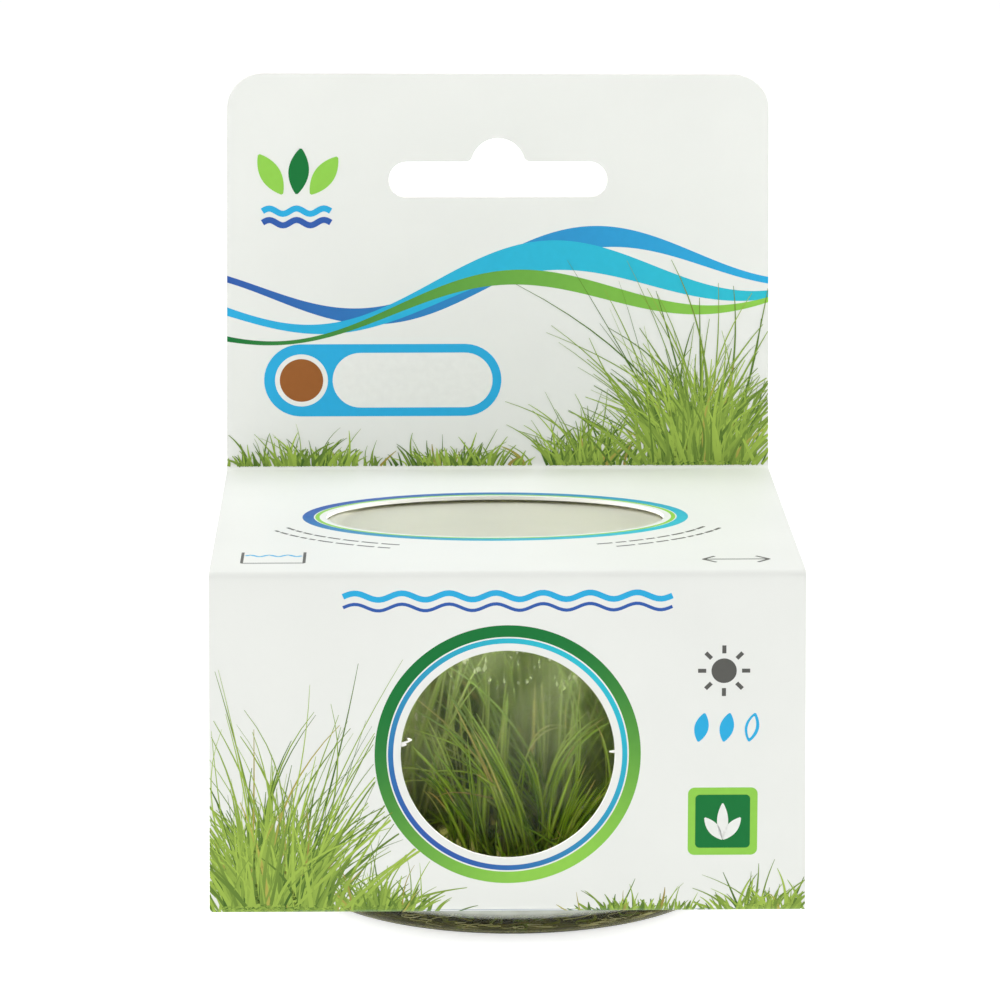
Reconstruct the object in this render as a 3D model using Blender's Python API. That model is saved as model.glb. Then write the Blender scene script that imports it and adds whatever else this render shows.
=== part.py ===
"""Dwarf hairgrass growing in a clear lidded cup, held in a folded card sleeve with a hanging header.

Units are metres. The part stands on the cup's foot at z = 0, its front faces -Y, and the middle of
its box is on the Z axis. The cup is round about an upright axis that is CUP_SIDEWAYS off the middle.
"""
import math
import random

import bmesh
import bpy
from mathutils import Matrix, Vector

MM = 0.001
GAP = 0.3 * MM

# Card sleeve, front to back and bottom to top
CARD = 0.5 * MM
SLEEVE_DEPTH = 71.0 * MM
FRONT_TOP_WIDTH = 79.7 * MM
FRONT_FOOT_WIDTH = 80.7 * MM
BACK_FOLD_WIDTH = 80.3 * MM
HEADER_TOP_WIDTH = 78.9 * MM
FRONT_HEIGHT = 47.2 * MM
HEADER_HEIGHT = 58.8 * MM
FOOT_DROP = 5.1 * MM
FOLD_RADIUS = 1.1 * MM
HEADER_CORNER_RADIUS = 5.0 * MM
ARC_STEPS = 5

# Openings cut in the card
WINDOW_RADIUS = 14.4 * MM
WINDOW_UP = 21.8 * MM
TAB_WIDTH = 0.6 * MM
LEFT_TAB = {"up": 1.55 * MM, "reach": 1.4 * MM, "tip_up": 2.0 * MM}
RIGHT_TAB = {"up": 0.35 * MM, "reach": 0.75 * MM, "tip_up": 0.15 * MM}
OVAL_HALF_WIDTH = 23.8 * MM
OVAL_HALF_DEPTH = 13.8 * MM
OVAL_CENTRE = Vector((-1.0 * MM, 1.0 * MM))
SLOT_WIDTH = 32.0 * MM
SLOT_HEIGHT = 5.4 * MM
SLOT_UP = 43.2 * MM
SLOT_BUMP_RADIUS = 4.0 * MM
SLOT_BUMP_UP = 2.15 * MM
SLOT_FILLET = 0.8 * MM
HOLE_SEGMENTS = 56

# Cup
CUP_SIDEWAYS = 1.2 * MM
CUP_FOOT_RADIUS = 31.0 * MM
CUP_TOP_RADIUS = 32.6 * MM
CUP_RIM_RADIUS = 33.6 * MM
CUP_WALL = 0.8 * MM
CUP_FOOT_FILLET = 1.8 * MM
RIM_HEIGHT = 1.6 * MM
ROUND_SEGMENTS = 56

# Lid
LID_RADIUS = 34.6 * MM
LID_THICKNESS = 0.7 * MM
LID_SKIRT = 6.0 * MM
LID_EDGE_RADIUS = 0.8 * MM

# Gel and plant
GEL_DEPTH = 9.0 * MM
GEL_CLIMB = 0.6 * MM
TUFT_COUNT = 7
TUFT_RING = 19.5 * MM
TUFT_TURN = math.radians(38)
CROWN_RADIUS = 3.2 * MM
CROWN_HEIGHT = 1.7 * MM
BLADE_INSET = 0.3 * MM
BLADE_TIP_SCALE = 0.22
BLADE_STEPS = (0.5, 1.0)
BLADE_BEND = 1.5
CELL_MARGIN = 1.0 * MM
WALL_MARGIN = 1.2 * MM
SEED = 11

# Heights that follow from the sizes above
CARD_BOTTOM = FOOT_DROP
CARD_TOP = CARD_BOTTOM + FRONT_HEIGHT
HEADER_TOP = CARD_TOP + HEADER_HEIGHT
HALF_DEPTH = SLEEVE_DEPTH / 2
HEADER_FRONT = HALF_DEPTH - 2 * CARD
LID_TOP = CARD_TOP - CARD - GAP
CUP_TOP = LID_TOP - LID_THICKNESS - GAP
GEL_BOTTOM = CUP_WALL + GAP
GEL_TOP = GEL_BOTTOM + GEL_DEPTH
PLANT_FOOT = GEL_TOP + GAP
PLANT_TOP = LID_TOP - LID_THICKNESS - 1.2 * MM


def clear_scene():
    """Remove every object that the file holds."""
    for old in list(bpy.data.objects):
        bpy.data.objects.remove(old, do_unlink=True)


def finish_material(name, colour, roughness, transmission=0.0, ior=1.5):
    """One Principled BSDF with the colour and roughness of a sub-part."""
    material = bpy.data.materials.new(name)
    material.use_nodes = True
    shader = material.node_tree.nodes["Principled BSDF"]
    shader.inputs["Base Color"].default_value = (*colour, 1.0)
    shader.inputs["Roughness"].default_value = roughness
    shader.inputs["Metallic"].default_value = 0.0
    shader.inputs["Transmission Weight"].default_value = transmission
    shader.inputs["IOR"].default_value = ior
    material.diffuse_color = (*colour, 1.0)
    return material


def object_from(name, bm, material, smooth_angle=None):
    """Turn a bmesh into a named object, shaded smooth below an angle where one is given."""
    mesh = bpy.data.meshes.new(name)
    bmesh.ops.recalc_face_normals(bm, faces=bm.faces)
    bm.to_mesh(mesh)
    bm.free()
    if smooth_angle is not None:
        mesh.shade_smooth()
        mesh.set_sharp_from_angle(angle=math.radians(smooth_angle))
    made = bpy.data.objects.new(name, mesh)
    bpy.context.scene.collection.objects.link(made)
    if material is not None:
        mesh.materials.append(material)
    return made


def arc(centre, radius, start, end, steps=ARC_STEPS):
    """Points of an arc from one angle to another, in degrees, both ends included."""
    angles = [math.radians(start + (end - start) * i / steps) for i in range(steps + 1)]
    return [(centre[0] + radius * math.cos(a), centre[1] + radius * math.sin(a)) for a in angles]


def mix(low, high, share):
    return low + (high - low) * share


def cup_radius(z):
    """The cup's outer radius at a height: it widens evenly from foot to rim."""
    return mix(CUP_FOOT_RADIUS, CUP_TOP_RADIUS, z / CUP_TOP)


def inside_radius(z):
    return cup_radius(z) - CUP_WALL


def half_width(y, z):
    """Half the card's width where the strip passes (y, z): it tapers a little from panel to panel."""
    if z > CARD_TOP:
        full = mix(BACK_FOLD_WIDTH, HEADER_TOP_WIDTH, (z - CARD_TOP) / HEADER_HEIGHT)
        half = full / 2
        above = z - (HEADER_TOP - HEADER_CORNER_RADIUS)
        if above > 0:
            run = math.sqrt(max(HEADER_CORNER_RADIUS ** 2 - above ** 2, 0.0))
            half -= HEADER_CORNER_RADIUS - run
        return half
    up = (z - CARD_BOTTOM) / FRONT_HEIGHT
    back = (y + HALF_DEPTH) / SLEEVE_DEPTH
    front_width = mix(FRONT_FOOT_WIDTH, FRONT_TOP_WIDTH, up)
    back_width = mix(FRONT_FOOT_WIDTH, BACK_FOLD_WIDTH, up)
    return mix(front_width, back_width, back) / 2


def corner_rows():
    """Heights of the rows that draw the header's rounded corners, from their foot to the top."""
    angles = [math.radians(90 * i / ARC_STEPS) for i in range(ARC_STEPS + 1)]
    low = HEADER_TOP - HEADER_CORNER_RADIUS
    return [low + HEADER_CORNER_RADIUS * math.sin(a) for a in angles]


def sleeve_outer_outline():
    """The strip's outer outline in (y, z), anticlockwise from the bottom front fold."""
    r = FOLD_RADIUS
    front = -HALF_DEPTH
    back = HALF_DEPTH
    points = arc((back - r, CARD_BOTTOM + r), r, -90, 0)
    points.append((back, CARD_TOP))
    points += [(back, z) for z in corner_rows()]
    points += [(HEADER_FRONT, z) for z in reversed(corner_rows())]
    points += arc((HEADER_FRONT - r, CARD_TOP + r), r, 0, -90)
    points += arc((front + r, CARD_TOP - r), r, 90, 180)
    points += arc((front + r, CARD_BOTTOM + r), r, 180, 270)
    return points


def sleeve_inner_outline():
    """The strip's inner outline in (y, z): the box that the four panels fold round."""
    r = FOLD_RADIUS - CARD
    front = -HALF_DEPTH + CARD
    back = HALF_DEPTH - CARD
    low = CARD_BOTTOM + CARD
    high = CARD_TOP - CARD
    points = arc((back - r, low + r), r, -90, 0)
    points += arc((back - r, high - r), r, 0, 90)
    points += arc((front + r, high - r), r, 90, 180)
    points += arc((front + r, low + r), r, 180, 270)
    return points


def loop_edges(bm, outline):
    """A closed ring of edges through (y, z) points, in the plane x = -1."""
    corners = [bm.verts.new((-1.0, y, z)) for y, z in outline]
    return [bm.edges.new((a, b)) for a, b in zip(corners, corners[1:] + corners[:1])]


def circle_outline(centre, half_x, half_y, segments=HOLE_SEGMENTS):
    """Points of a circle or an oval about a centre."""
    angles = [2 * math.pi * i / segments for i in range(segments)]
    return [(centre[0] + half_x * math.cos(a), centre[1] + half_y * math.sin(a)) for a in angles]


def slot_outline():
    """The euro slot in (x, z): a long slot with round ends, and a round bump that fillets lead into."""
    end = SLOT_HEIGHT / 2
    middle = CARD_TOP + SLOT_UP
    run = SLOT_WIDTH / 2 - end
    rise = end + SLOT_FILLET - SLOT_BUMP_UP
    aside = math.sqrt((SLOT_BUMP_RADIUS + SLOT_FILLET) ** 2 - rise ** 2)
    lean = math.degrees(math.atan2(rise, aside))
    fillet_middle = middle + end + SLOT_FILLET
    bump_middle = middle + SLOT_BUMP_UP
    points = arc((run, middle), end, -90, 90, 8)
    points += arc((aside, fillet_middle), SLOT_FILLET, -90, lean - 180, 3)
    points += arc((0.0, bump_middle), SLOT_BUMP_RADIUS, lean, 180 - lean, 10)[1:-1]
    points += arc((-aside, fillet_middle), SLOT_FILLET, -lean, -90, 3)
    points += arc((-run, middle), end, 90, 270, 8)
    return points


def tab_angles(tab):
    """The angles above the horizontal at which a paper tab's two edges meet the window's circle."""
    low = math.asin((tab["up"] - TAB_WIDTH / 2) / WINDOW_RADIUS)
    high = math.asin((tab["up"] + TAB_WIDTH / 2) / WINDOW_RADIUS)
    return math.degrees(low), math.degrees(high)


def window_outline():
    """The round window in (x, z), with the two small paper tabs that point into it."""
    middle = CARD_BOTTOM + WINDOW_UP
    side = HOLE_SEGMENTS // 2
    left_low, left_high = tab_angles(LEFT_TAB)
    right_low, right_high = tab_angles(RIGHT_TAB)
    top = arc((0.0, middle), WINDOW_RADIUS, right_high, 180 - left_high, side)
    foot = arc((0.0, middle), WINDOW_RADIUS, 180 - left_low, 360 + right_low, side)
    left_tip = (LEFT_TAB["reach"] - WINDOW_RADIUS, middle + LEFT_TAB["tip_up"])
    right_tip = (WINDOW_RADIUS - RIGHT_TAB["reach"], middle + RIGHT_TAB["tip_up"])
    return top + [left_tip] + foot + [right_tip]


def cutter(name, outline, axis, low, high):
    """A prism for a Boolean: an outline in (x, z) cuts along Y, and one in (x, y) cuts along Z."""
    bm = bmesh.new()
    if axis == "Y":
        corners = [bm.verts.new((a, low, b)) for a, b in outline]
        way = Vector((0.0, high - low, 0.0))
    else:
        corners = [bm.verts.new((a, b, low)) for a, b in outline]
        way = Vector((0.0, 0.0, high - low))
    cap = bm.faces.new(corners)
    grown = bmesh.ops.extrude_face_region(bm, geom=[cap])
    moved = [part for part in grown["geom"] if isinstance(part, bmesh.types.BMVert)]
    bmesh.ops.translate(bm, verts=moved, vec=way)
    made = object_from(name, bm, None)
    made.hide_render = True
    made.display_type = "WIRE"
    return made


def cut(target, tool):
    """Take a cutter's shape out of an object with an exact Boolean."""
    modifier = target.modifiers.new(tool.name, "BOOLEAN")
    modifier.operation = "DIFFERENCE"
    modifier.solver = "EXACT"
    modifier.object = tool


def make_sleeve(material):
    """The folded card: its side view is filled, drawn out to full width and cut through."""
    bm = bmesh.new()
    edges = loop_edges(bm, sleeve_outer_outline()) + loop_edges(bm, sleeve_inner_outline())
    bmesh.ops.triangle_fill(bm, use_beauty=True, edges=edges)
    grown = bmesh.ops.extrude_face_region(bm, geom=list(bm.faces))
    moved = [part for part in grown["geom"] if isinstance(part, bmesh.types.BMVert)]
    bmesh.ops.translate(bm, verts=moved, vec=Vector((2.0, 0.0, 0.0)))
    for vert in bm.verts:
        vert.co.x *= half_width(vert.co.y, vert.co.z)
    sleeve = object_from("card_sleeve", bm, material, 25)
    front = -HALF_DEPTH
    past = 2 * MM
    cut(sleeve, cutter("window_cutter", window_outline(), "Y", front - past, front + past))
    oval = circle_outline(OVAL_CENTRE, OVAL_HALF_WIDTH, OVAL_HALF_DEPTH)
    cut(sleeve, cutter("oval_cutter", oval, "Z", CARD_TOP - past, CARD_TOP + past))
    round_cup = cup_radius(CARD_BOTTOM + CARD) + GAP
    hole = circle_outline((CUP_SIDEWAYS, 0.0), round_cup, round_cup)
    cut(sleeve, cutter("foot_cutter", hole, "Z", CARD_BOTTOM - past, CARD_BOTTOM + past))
    slot = slot_outline()
    cut(sleeve, cutter("slot_cutter", slot, "Y", HEADER_FRONT - past, HALF_DEPTH + past))
    return sleeve


def turned(name, outline, material, centre):
    """Spin an outline of (radius, z) points, whose ends lie on the axis, once round the axis."""
    bm = bmesh.new()
    corners = [bm.verts.new((radius, 0.0, z)) for radius, z in outline]
    edges = [bm.edges.new((a, b)) for a, b in zip(corners, corners[1:])]
    bmesh.ops.spin(
        bm,
        geom=corners + edges,
        cent=(0.0, 0.0, 0.0),
        axis=(0.0, 0.0, 1.0),
        angle=2 * math.pi,
        steps=ROUND_SEGMENTS,
        use_merge=True,
    )
    bmesh.ops.remove_doubles(bm, verts=bm.verts, dist=1e-6)
    bmesh.ops.translate(bm, verts=bm.verts, vec=Vector((centre[0], centre[1], 0.0)))
    return object_from(name, bm, material, 30)


def make_cup(material):
    """The open cup: up the outside with a rounded foot, over the rim and down the inside."""
    fillet = CUP_FOOT_FILLET
    inner_fillet = fillet - CUP_WALL
    foot = [(0.0, 0.0)] + arc((CUP_FOOT_RADIUS - fillet, fillet), fillet, -90, 0, 3)
    rim_foot = CUP_TOP - RIM_HEIGHT
    wall = [(cup_radius(rim_foot) - 0.1 * MM, rim_foot)]
    rim = [
        (CUP_RIM_RADIUS, rim_foot + 0.1 * MM),
        (CUP_RIM_RADIUS, CUP_TOP - 0.5 * MM),
        (CUP_RIM_RADIUS - 0.5 * MM, CUP_TOP),
        (CUP_TOP_RADIUS - CUP_WALL, CUP_TOP),
    ]
    corner = (CUP_FOOT_RADIUS - fillet, CUP_WALL + inner_fillet)
    inside = list(reversed(arc(corner, inner_fillet, -90, 0, 2))) + [(0.0, CUP_WALL)]
    return turned("cup", foot + wall + rim + inside, material, (CUP_SIDEWAYS, 0.0))


def make_lid(material):
    """The snap lid: a flat disc with a rounded edge and a skirt that hangs outside the cup's rim."""
    edge = LID_EDGE_RADIUS
    skirt_foot = LID_TOP - LID_SKIRT
    skirt_inside = CUP_RIM_RADIUS + GAP
    outline = [(0.0, LID_TOP - LID_THICKNESS)]
    outline.append((skirt_inside, LID_TOP - LID_THICKNESS))
    outline.append((skirt_inside, skirt_foot))
    outline.append((LID_RADIUS, skirt_foot))
    outline += arc((LID_RADIUS - edge, LID_TOP - edge), edge, 0, 90, 3)
    outline.append((0.0, LID_TOP))
    return turned("lid", outline, material, (CUP_SIDEWAYS, 0.0))


def make_gel(material):
    """The gel: a disc that fills the bottom of the cup and climbs the wall a little at its edge."""
    corner = CUP_FOOT_FILLET
    edge = inside_radius(GEL_TOP) - GAP
    outline = [
        (0.0, GEL_BOTTOM),
        (CUP_FOOT_RADIUS - corner - GAP, GEL_BOTTOM),
        (inside_radius(corner) - GAP, GEL_BOTTOM + corner),
        (edge, GEL_TOP + GEL_CLIMB),
        (edge - 2 * GEL_CLIMB, GEL_TOP),
        (0.0, GEL_TOP),
    ]
    return turned("growing_gel", outline, material, (CUP_SIDEWAYS, 0.0))


def tuft_places():
    """Where the tufts stand, as offsets from the cup's axis: one in the middle, the rest in a ring."""
    ring = TUFT_COUNT - 1
    angles = [TUFT_TURN + 2 * math.pi * i / ring for i in range(ring)]
    around = [Matrix.Rotation(angle, 2) @ Vector((TUFT_RING, 0.0)) for angle in angles]
    return [Vector((0.0, 0.0))] + around


def room(place, others, way):
    """How far a blade may lean from its tuft's place: to half way to a neighbour, or to the wall."""
    wall = inside_radius(PLANT_FOOT) - WALL_MARGIN
    along = place.dot(way)
    reach = -along + math.sqrt(along ** 2 + wall ** 2 - place.length_squared)
    for other in others:
        apart = other - place
        toward = apart.normalized().dot(way)
        if toward > 1e-6:
            reach = min(reach, (apart.length / 2 - CELL_MARGIN) / toward)
    return reach


def make_tuft(index, place, others, material, dice):
    """One tuft: a low crown whose upper faces are drawn out into blades that lean outwards."""
    bm = bmesh.new()
    bmesh.ops.create_icosphere(bm, subdivisions=2, radius=CROWN_RADIUS)
    turn = Matrix.Rotation(dice.uniform(0.0, math.pi), 3, "Z")
    bmesh.ops.rotate(bm, verts=bm.verts, matrix=turn)
    flat = CROWN_HEIGHT / CROWN_RADIUS
    for vert in bm.verts:
        vert.co.z = max(vert.co.z, -0.35 * CROWN_RADIUS) * flat
    bmesh.ops.dissolve_limit(bm, angle_limit=math.radians(1), verts=bm.verts, edges=bm.edges)
    bm.faces.ensure_lookup_table()
    seats = [face for face in bm.faces if len(face.verts) == 3 and face.normal.z > 0.12]
    bmesh.ops.inset_individual(bm, faces=seats, thickness=BLADE_INSET)
    lowest = min(vert.co.z for vert in bm.verts)
    for face in seats:
        start = face.calc_center_median()
        outward = Vector((start.x, start.y))
        share = min(outward.length / CROWN_RADIUS, 1.0)
        way = outward.normalized()
        lean = room(place, others, way) * share
        height = (PLANT_TOP - PLANT_FOOT + lowest - start.z) * dice.uniform(0.72, 1.0)
        corners = [vert.co - start for vert in face.verts]
        for step in BLADE_STEPS:
            face = bmesh.ops.extrude_discrete_faces(bm, faces=[face])["faces"][0]
            out = mix(outward.length, max(lean, outward.length), step ** BLADE_BEND)
            middle = Vector((way.x * out, way.y * out, start.z + height * step))
            scale = mix(1.0, BLADE_TIP_SCALE, step)
            for vert, corner in zip(face.verts, corners):
                vert.co = middle + corner * scale
    where = Vector((CUP_SIDEWAYS + place.x, place.y, PLANT_FOOT - lowest))
    bmesh.ops.translate(bm, verts=bm.verts, vec=where)
    return object_from(f"hairgrass_tuft_{index + 1}", bm, material)


def build():
    clear_scene()
    card = finish_material("white_card", (0.86, 0.87, 0.83), 0.45)
    clear = finish_material("clear_plastic", (0.95, 0.97, 0.95), 0.08, 0.95, 1.49)
    milky = finish_material("milky_plastic", (0.80, 0.81, 0.73), 0.35, 0.3)
    gel = finish_material("gel", (0.55, 0.52, 0.33), 0.15, 0.6, 1.34)
    green = finish_material("grass_blade", (0.16, 0.26, 0.05), 0.5)
    make_sleeve(card)
    make_cup(clear)
    make_lid(milky)
    make_gel(gel)
    dice = random.Random(SEED)
    places = tuft_places()
    for index, place in enumerate(places):
        others = [other for other in places if other is not place]
        make_tuft(index, place, others, green, dice)


build()
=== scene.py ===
"""Looks of dwarf hairgrass in a lidded cup and a folded card sleeve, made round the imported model.

Units are metres. The cup stands on z = 0, the sleeve's front faces -Y, and +X is to the right as
seen from the front. Every new piece is a surface worked out with numpy as a function of two
parameters, and its place is in its mesh, so that all objects sit at the origin.
"""

import bpy
import numpy as np
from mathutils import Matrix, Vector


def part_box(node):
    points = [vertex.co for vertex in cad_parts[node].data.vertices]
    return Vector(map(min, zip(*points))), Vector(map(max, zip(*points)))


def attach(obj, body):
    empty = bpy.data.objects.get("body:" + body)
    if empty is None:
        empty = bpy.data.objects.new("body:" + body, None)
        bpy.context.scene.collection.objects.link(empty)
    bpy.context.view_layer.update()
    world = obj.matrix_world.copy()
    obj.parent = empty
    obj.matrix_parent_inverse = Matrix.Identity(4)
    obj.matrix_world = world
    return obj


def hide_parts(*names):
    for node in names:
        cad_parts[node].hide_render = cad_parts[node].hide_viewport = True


bl_info = {
    "name": "Hairgrass cup",
    "version": (1, 0, 0),
    "blender": (4, 5, 0),
    "location": "View3D > Sidebar > Hairgrass",
    "description": "Makes the card sleeve, the cup and the plant of a pack of dwarf hairgrass",
    "category": "Object",
}

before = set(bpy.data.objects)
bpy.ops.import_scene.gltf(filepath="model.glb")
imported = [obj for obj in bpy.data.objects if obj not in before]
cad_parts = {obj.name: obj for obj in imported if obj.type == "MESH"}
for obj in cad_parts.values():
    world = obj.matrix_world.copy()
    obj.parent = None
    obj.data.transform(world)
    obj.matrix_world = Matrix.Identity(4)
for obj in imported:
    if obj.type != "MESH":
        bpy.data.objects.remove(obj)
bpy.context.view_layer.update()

MM = 0.001
FULL_TURN = 2 * np.pi
QUARTER = np.pi / 2
TUFTS = sorted(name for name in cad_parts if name.startswith("hairgrass_tuft"))

# Places read from the frame
CARD_LOW, CARD_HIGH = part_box("card_sleeve")
CUP_LOW, CUP_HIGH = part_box("cup")
LID_LOW, LID_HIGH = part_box("lid")
GEL_LOW, GEL_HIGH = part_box("growing_gel")
CUP_X = (CUP_LOW.x + CUP_HIGH.x) / 2
CARD_BOTTOM = CARD_LOW.z
HEADER_TOP = CARD_HIGH.z - 0.02 * MM
HALF_DEPTH = CARD_HIGH.y - 0.04 * MM
LID_TOP = LID_HIGH.z
CUP_TOP = CUP_HIGH.z
RIM_RADIUS = CUP_HIGH.x - CUP_X
LID_RADIUS = LID_HIGH.x - CUP_X

# Sizes of the card's flat pattern
CARD = 0.485 * MM
PLY_STEP = 1.0 * MM
FRONT_HEIGHT = 47.2 * MM
FRONT_TOP_WIDTH = 79.7 * MM
FRONT_FOOT_WIDTH = 80.68 * MM
BACK_FOLD_WIDTH = 80.3 * MM
HEADER_TOP_WIDTH = 78.9 * MM
HEADER_CORNER = 5.0 * MM
FOLD = 0.9 * MM
CARD_TOP = CARD_BOTTOM + FRONT_HEIGHT
HEADER_HEIGHT = HEADER_TOP - CARD_TOP
HEADER_FRONT = HALF_DEPTH - PLY_STEP

# Openings in the card
WINDOW_RADIUS = 14.4 * MM
WINDOW_MIDDLE = CARD_BOTTOM + 22.0 * MM
RING_RADIUS = 17.9 * MM
OVAL_MIDDLE = (-1.0 * MM, 1.0 * MM)
OVAL_HALF = (23.8 * MM, 13.8 * MM)
FOOT_HOLE_RADIUS = 31.48 * MM
SLOT_HALF = (16.0 * MM, 2.7 * MM)
SLOT_MIDDLE = CARD_TOP + 43.2 * MM
SLOT_FILLET = 0.8 * MM
BUMP_RADIUS = 4.0 * MM
BUMP_UP = 2.15 * MM

# Torn tabs at the round window's edge, in mm: height over its middle, reach to the right, rise, width
TORN_TABS = ((1.55, 1.4, 0.5, 0.3), (1.3, 0.7, 0.1, 0.3), (0.35, -0.7, -0.06, 0.4))

# The cup's wall and what it holds
CUP_FOOT_RADIUS = 31.0 * MM
CUP_TOP_RADIUS = 32.6 * MM
CUP_WALL = 0.45 * MM
GEL_CLIMB = 0.6 * MM
GEL_TOP = GEL_HIGH.z - GEL_CLIMB
BLADE_FOOT = GEL_TOP - 0.8 * MM
OUTER_ROOTS = 30.4 * MM

# How finely surfaces are divided
CARD_COLUMNS = 97
CORNER_STEPS = 9
FOLD_STEPS = 6
RINGS_ROUND_HOLE = 4
TAB_GRID = (9, 5)
RING_STEPS = 144
CORNER_CURVE_STEPS = 6
FINE_SEGMENTS = 192

# Start of the random draws for the broken lines on the top panel
DASH_SEED = 9

# Where the camera stands, which the blades by the window are set out from, and how it is turned
CAMERA_PLACE = np.array((-12.45, -629.3, 185.6)) * MM
CAMERA_TURN = (QUARTER - 0.205, 0.0, -0.0192)

# The flat pattern from the header's top edge round to the back's: each stretch's length and turn
STRETCHES = {
    "header": (HEADER_HEIGHT - FOLD, 0.0),
    "hollow fold": (QUARTER * FOLD, -QUARTER),
    "top": (HEADER_FRONT + HALF_DEPTH - 2 * FOLD, 0.0),
    "front fold": (QUARTER * FOLD, QUARTER),
    "front": (FRONT_HEIGHT - 2 * FOLD, 0.0),
    "foot fold": (QUARTER * FOLD, QUARTER),
    "bottom": (2 * (HALF_DEPTH - FOLD), 0.0),
    "back fold": (QUARTER * FOLD, QUARTER),
    "back": (HEADER_TOP - CARD_BOTTOM - FOLD, 0.0),
}
ENDS = np.cumsum([length for length, turn in STRETCHES.values()])
STARTS = dict(zip(STRETCHES, np.concatenate([[0.0], ENDS[:-1]])))

# Each panel's first height or depth, and whether that coordinate grows along the pattern
PANELS = {
    "header": (HEADER_TOP, -1),
    "top": (HEADER_FRONT - FOLD, -1),
    "front": (CARD_TOP - FOLD, -1),
    "bottom": (FOLD - HALF_DEPTH, 1),
    "back": (CARD_BOTTOM + FOLD, 1),
}


# Sheaves of blades that show in the round window, from left to right at their tips. Each is seen
# there, in mm from the window's middle, as root (x, depth behind the card), bend (x, up), tip
# (x, up, depth), number of blades, spread of the tips, breadth, and tone from green 0 to tan 1.
SHEAVES = (
    ((-1.5, 8.0), (-6.4, -3.8), (-13.8, 0.6, 7.5), 9, 1.5, 1.0, 0.28),
    ((-7.0, 9.0), (-8.0, -3.0), (-12.6, 5.4, 9.0), 4, 1.2, 0.7, 0.45),
    ((-5.0, 8.0), (-9.0, -5.0), (-12.2, -5.4, 8.5), 2, 0.6, 0.7, 0.96),
    ((-2.5, 7.0), (-6.0, -9.0), (-10.5, -2.0, 7.0), 6, 1.4, 0.9, 0.30),
    ((-5.0, 9.0), (-6.5, -4.0), (-11.4, 6.2, 8.5), 4, 1.0, 0.7, 0.50),
    ((3.6, 6.5), (2.6, -5.8), (-7.4, 7.0, 6.5), 11, 1.6, 0.95, 0.45),
    ((1.6, 6.4), (-0.6, -5.6), (-8.0, 7.2, 5.8), 3, 0.45, 0.9, 0.955),
    ((-5.0, 13.0), (-6.5, 0.0), (-7.5, 11.0, 12.0), 5, 1.5, 0.7, 0.70),
    ((-3.2, 6.5), (-5.0, -6.0), (-6.1, 3.2, 6.5), 4, 0.5, 0.9, 0.35),
    ((-2.8, 8.0), (-3.8, -5.0), (-3.2, 1.5, 8.0), 3, 0.5, 1.2, 0.55),
    ((-2.0, 13.0), (-3.5, 0.0), (-4.4, 13.5, 12.0), 5, 1.4, 0.8, 0.70),
    ((-3.0, 10.0), (-3.2, -3.0), (-0.9, 5.2, 10.0), 2, 0.3, 0.6, 0.97),
    ((0.5, 11.0), (-1.3, -2.0), (0.2, 11.0, 11.0), 4, 0.5, 1.25, 0.80),
    ((5.0, 8.0), (5.4, -2.5), (0.2, 2.3, 8.0), 4, 0.4, 0.9, 0.40),
    ((2.5, 12.0), (3.6, 0.0), (3.6, 11.2, 11.0), 3, 0.4, 0.6, 0.97),
    ((4.5, 13.0), (5.5, 0.0), (4.8, 12.5, 13.0), 6, 1.6, 0.7, 0.75),
    ((5.2, 6.0), (5.5, -9.0), (6.3, -5.0, 6.0), 2, 0.2, 0.7, 0.70),
    ((7.5, 12.0), (8.5, 1.0), (9.5, 10.5, 12.0), 5, 1.5, 0.7, 0.65),
    ((8.0, 9.0), (10.4, -1.0), (9.2, 7.6, 8.5), 3, 0.5, 0.55, 0.50),
    ((1.2, 9.0), (0.4, 8.0), (9.4, 3.0, 8.5), 2, 0.3, 0.5, 0.98),
    ((4.8, 6.5), (7.2, -8.0), (10.2, -1.2, 6.5), 4, 0.7, 1.0, 0.45),
    ((5.6, 7.0), (8.4, -8.0), (11.5, -2.8, 7.0), 4, 0.8, 0.9, 0.50),
    ((13.0, 10.0), (14.5, 1.0), (11.0, 4.2, 9.0), 2, 0.5, 0.5, 0.60),
    ((4.6, 9.0), (4.4, 1.5), (13.6, 5.0, 8.5), 7, 1.0, 0.9, 0.50),
    ((5.0, 9.5), (5.0, 1.5), (13.4, 5.4, 9.0), 2, 0.2, 0.9, 0.95),
    ((5.8, 7.0), (9.5, -8.5), (13.2, -4.4, 7.5), 6, 1.0, 0.8, 0.40),
)


def srgb(red, green, blue):
    """A colour given in display values from 0 to 255, as the linear values that shaders take."""
    part = np.array((red, green, blue)) / 255
    linear = np.where(part > 0.04045, ((part + 0.055) / 1.055) ** 2.4, part / 12.92)
    return tuple(float(value) for value in linear)


def amount(name, description, default, least=0.0, **more):
    return bpy.props.FloatProperty(name=name, description=description, default=default, min=least, **more)


def size(name, description, default):
    return amount(name, description, default, unit="LENGTH", precision=5)


def watts(name, description, default):
    return amount(name, description, default, unit="POWER")


def colour(name, description, default):
    return bpy.props.FloatVectorProperty(
        name=name, description=description, default=default, size=3, min=0.0, max=1.0, subtype="COLOR"
    )


def count(name, description, default):
    return bpy.props.IntProperty(name=name, description=description, default=default, min=1)


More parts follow.
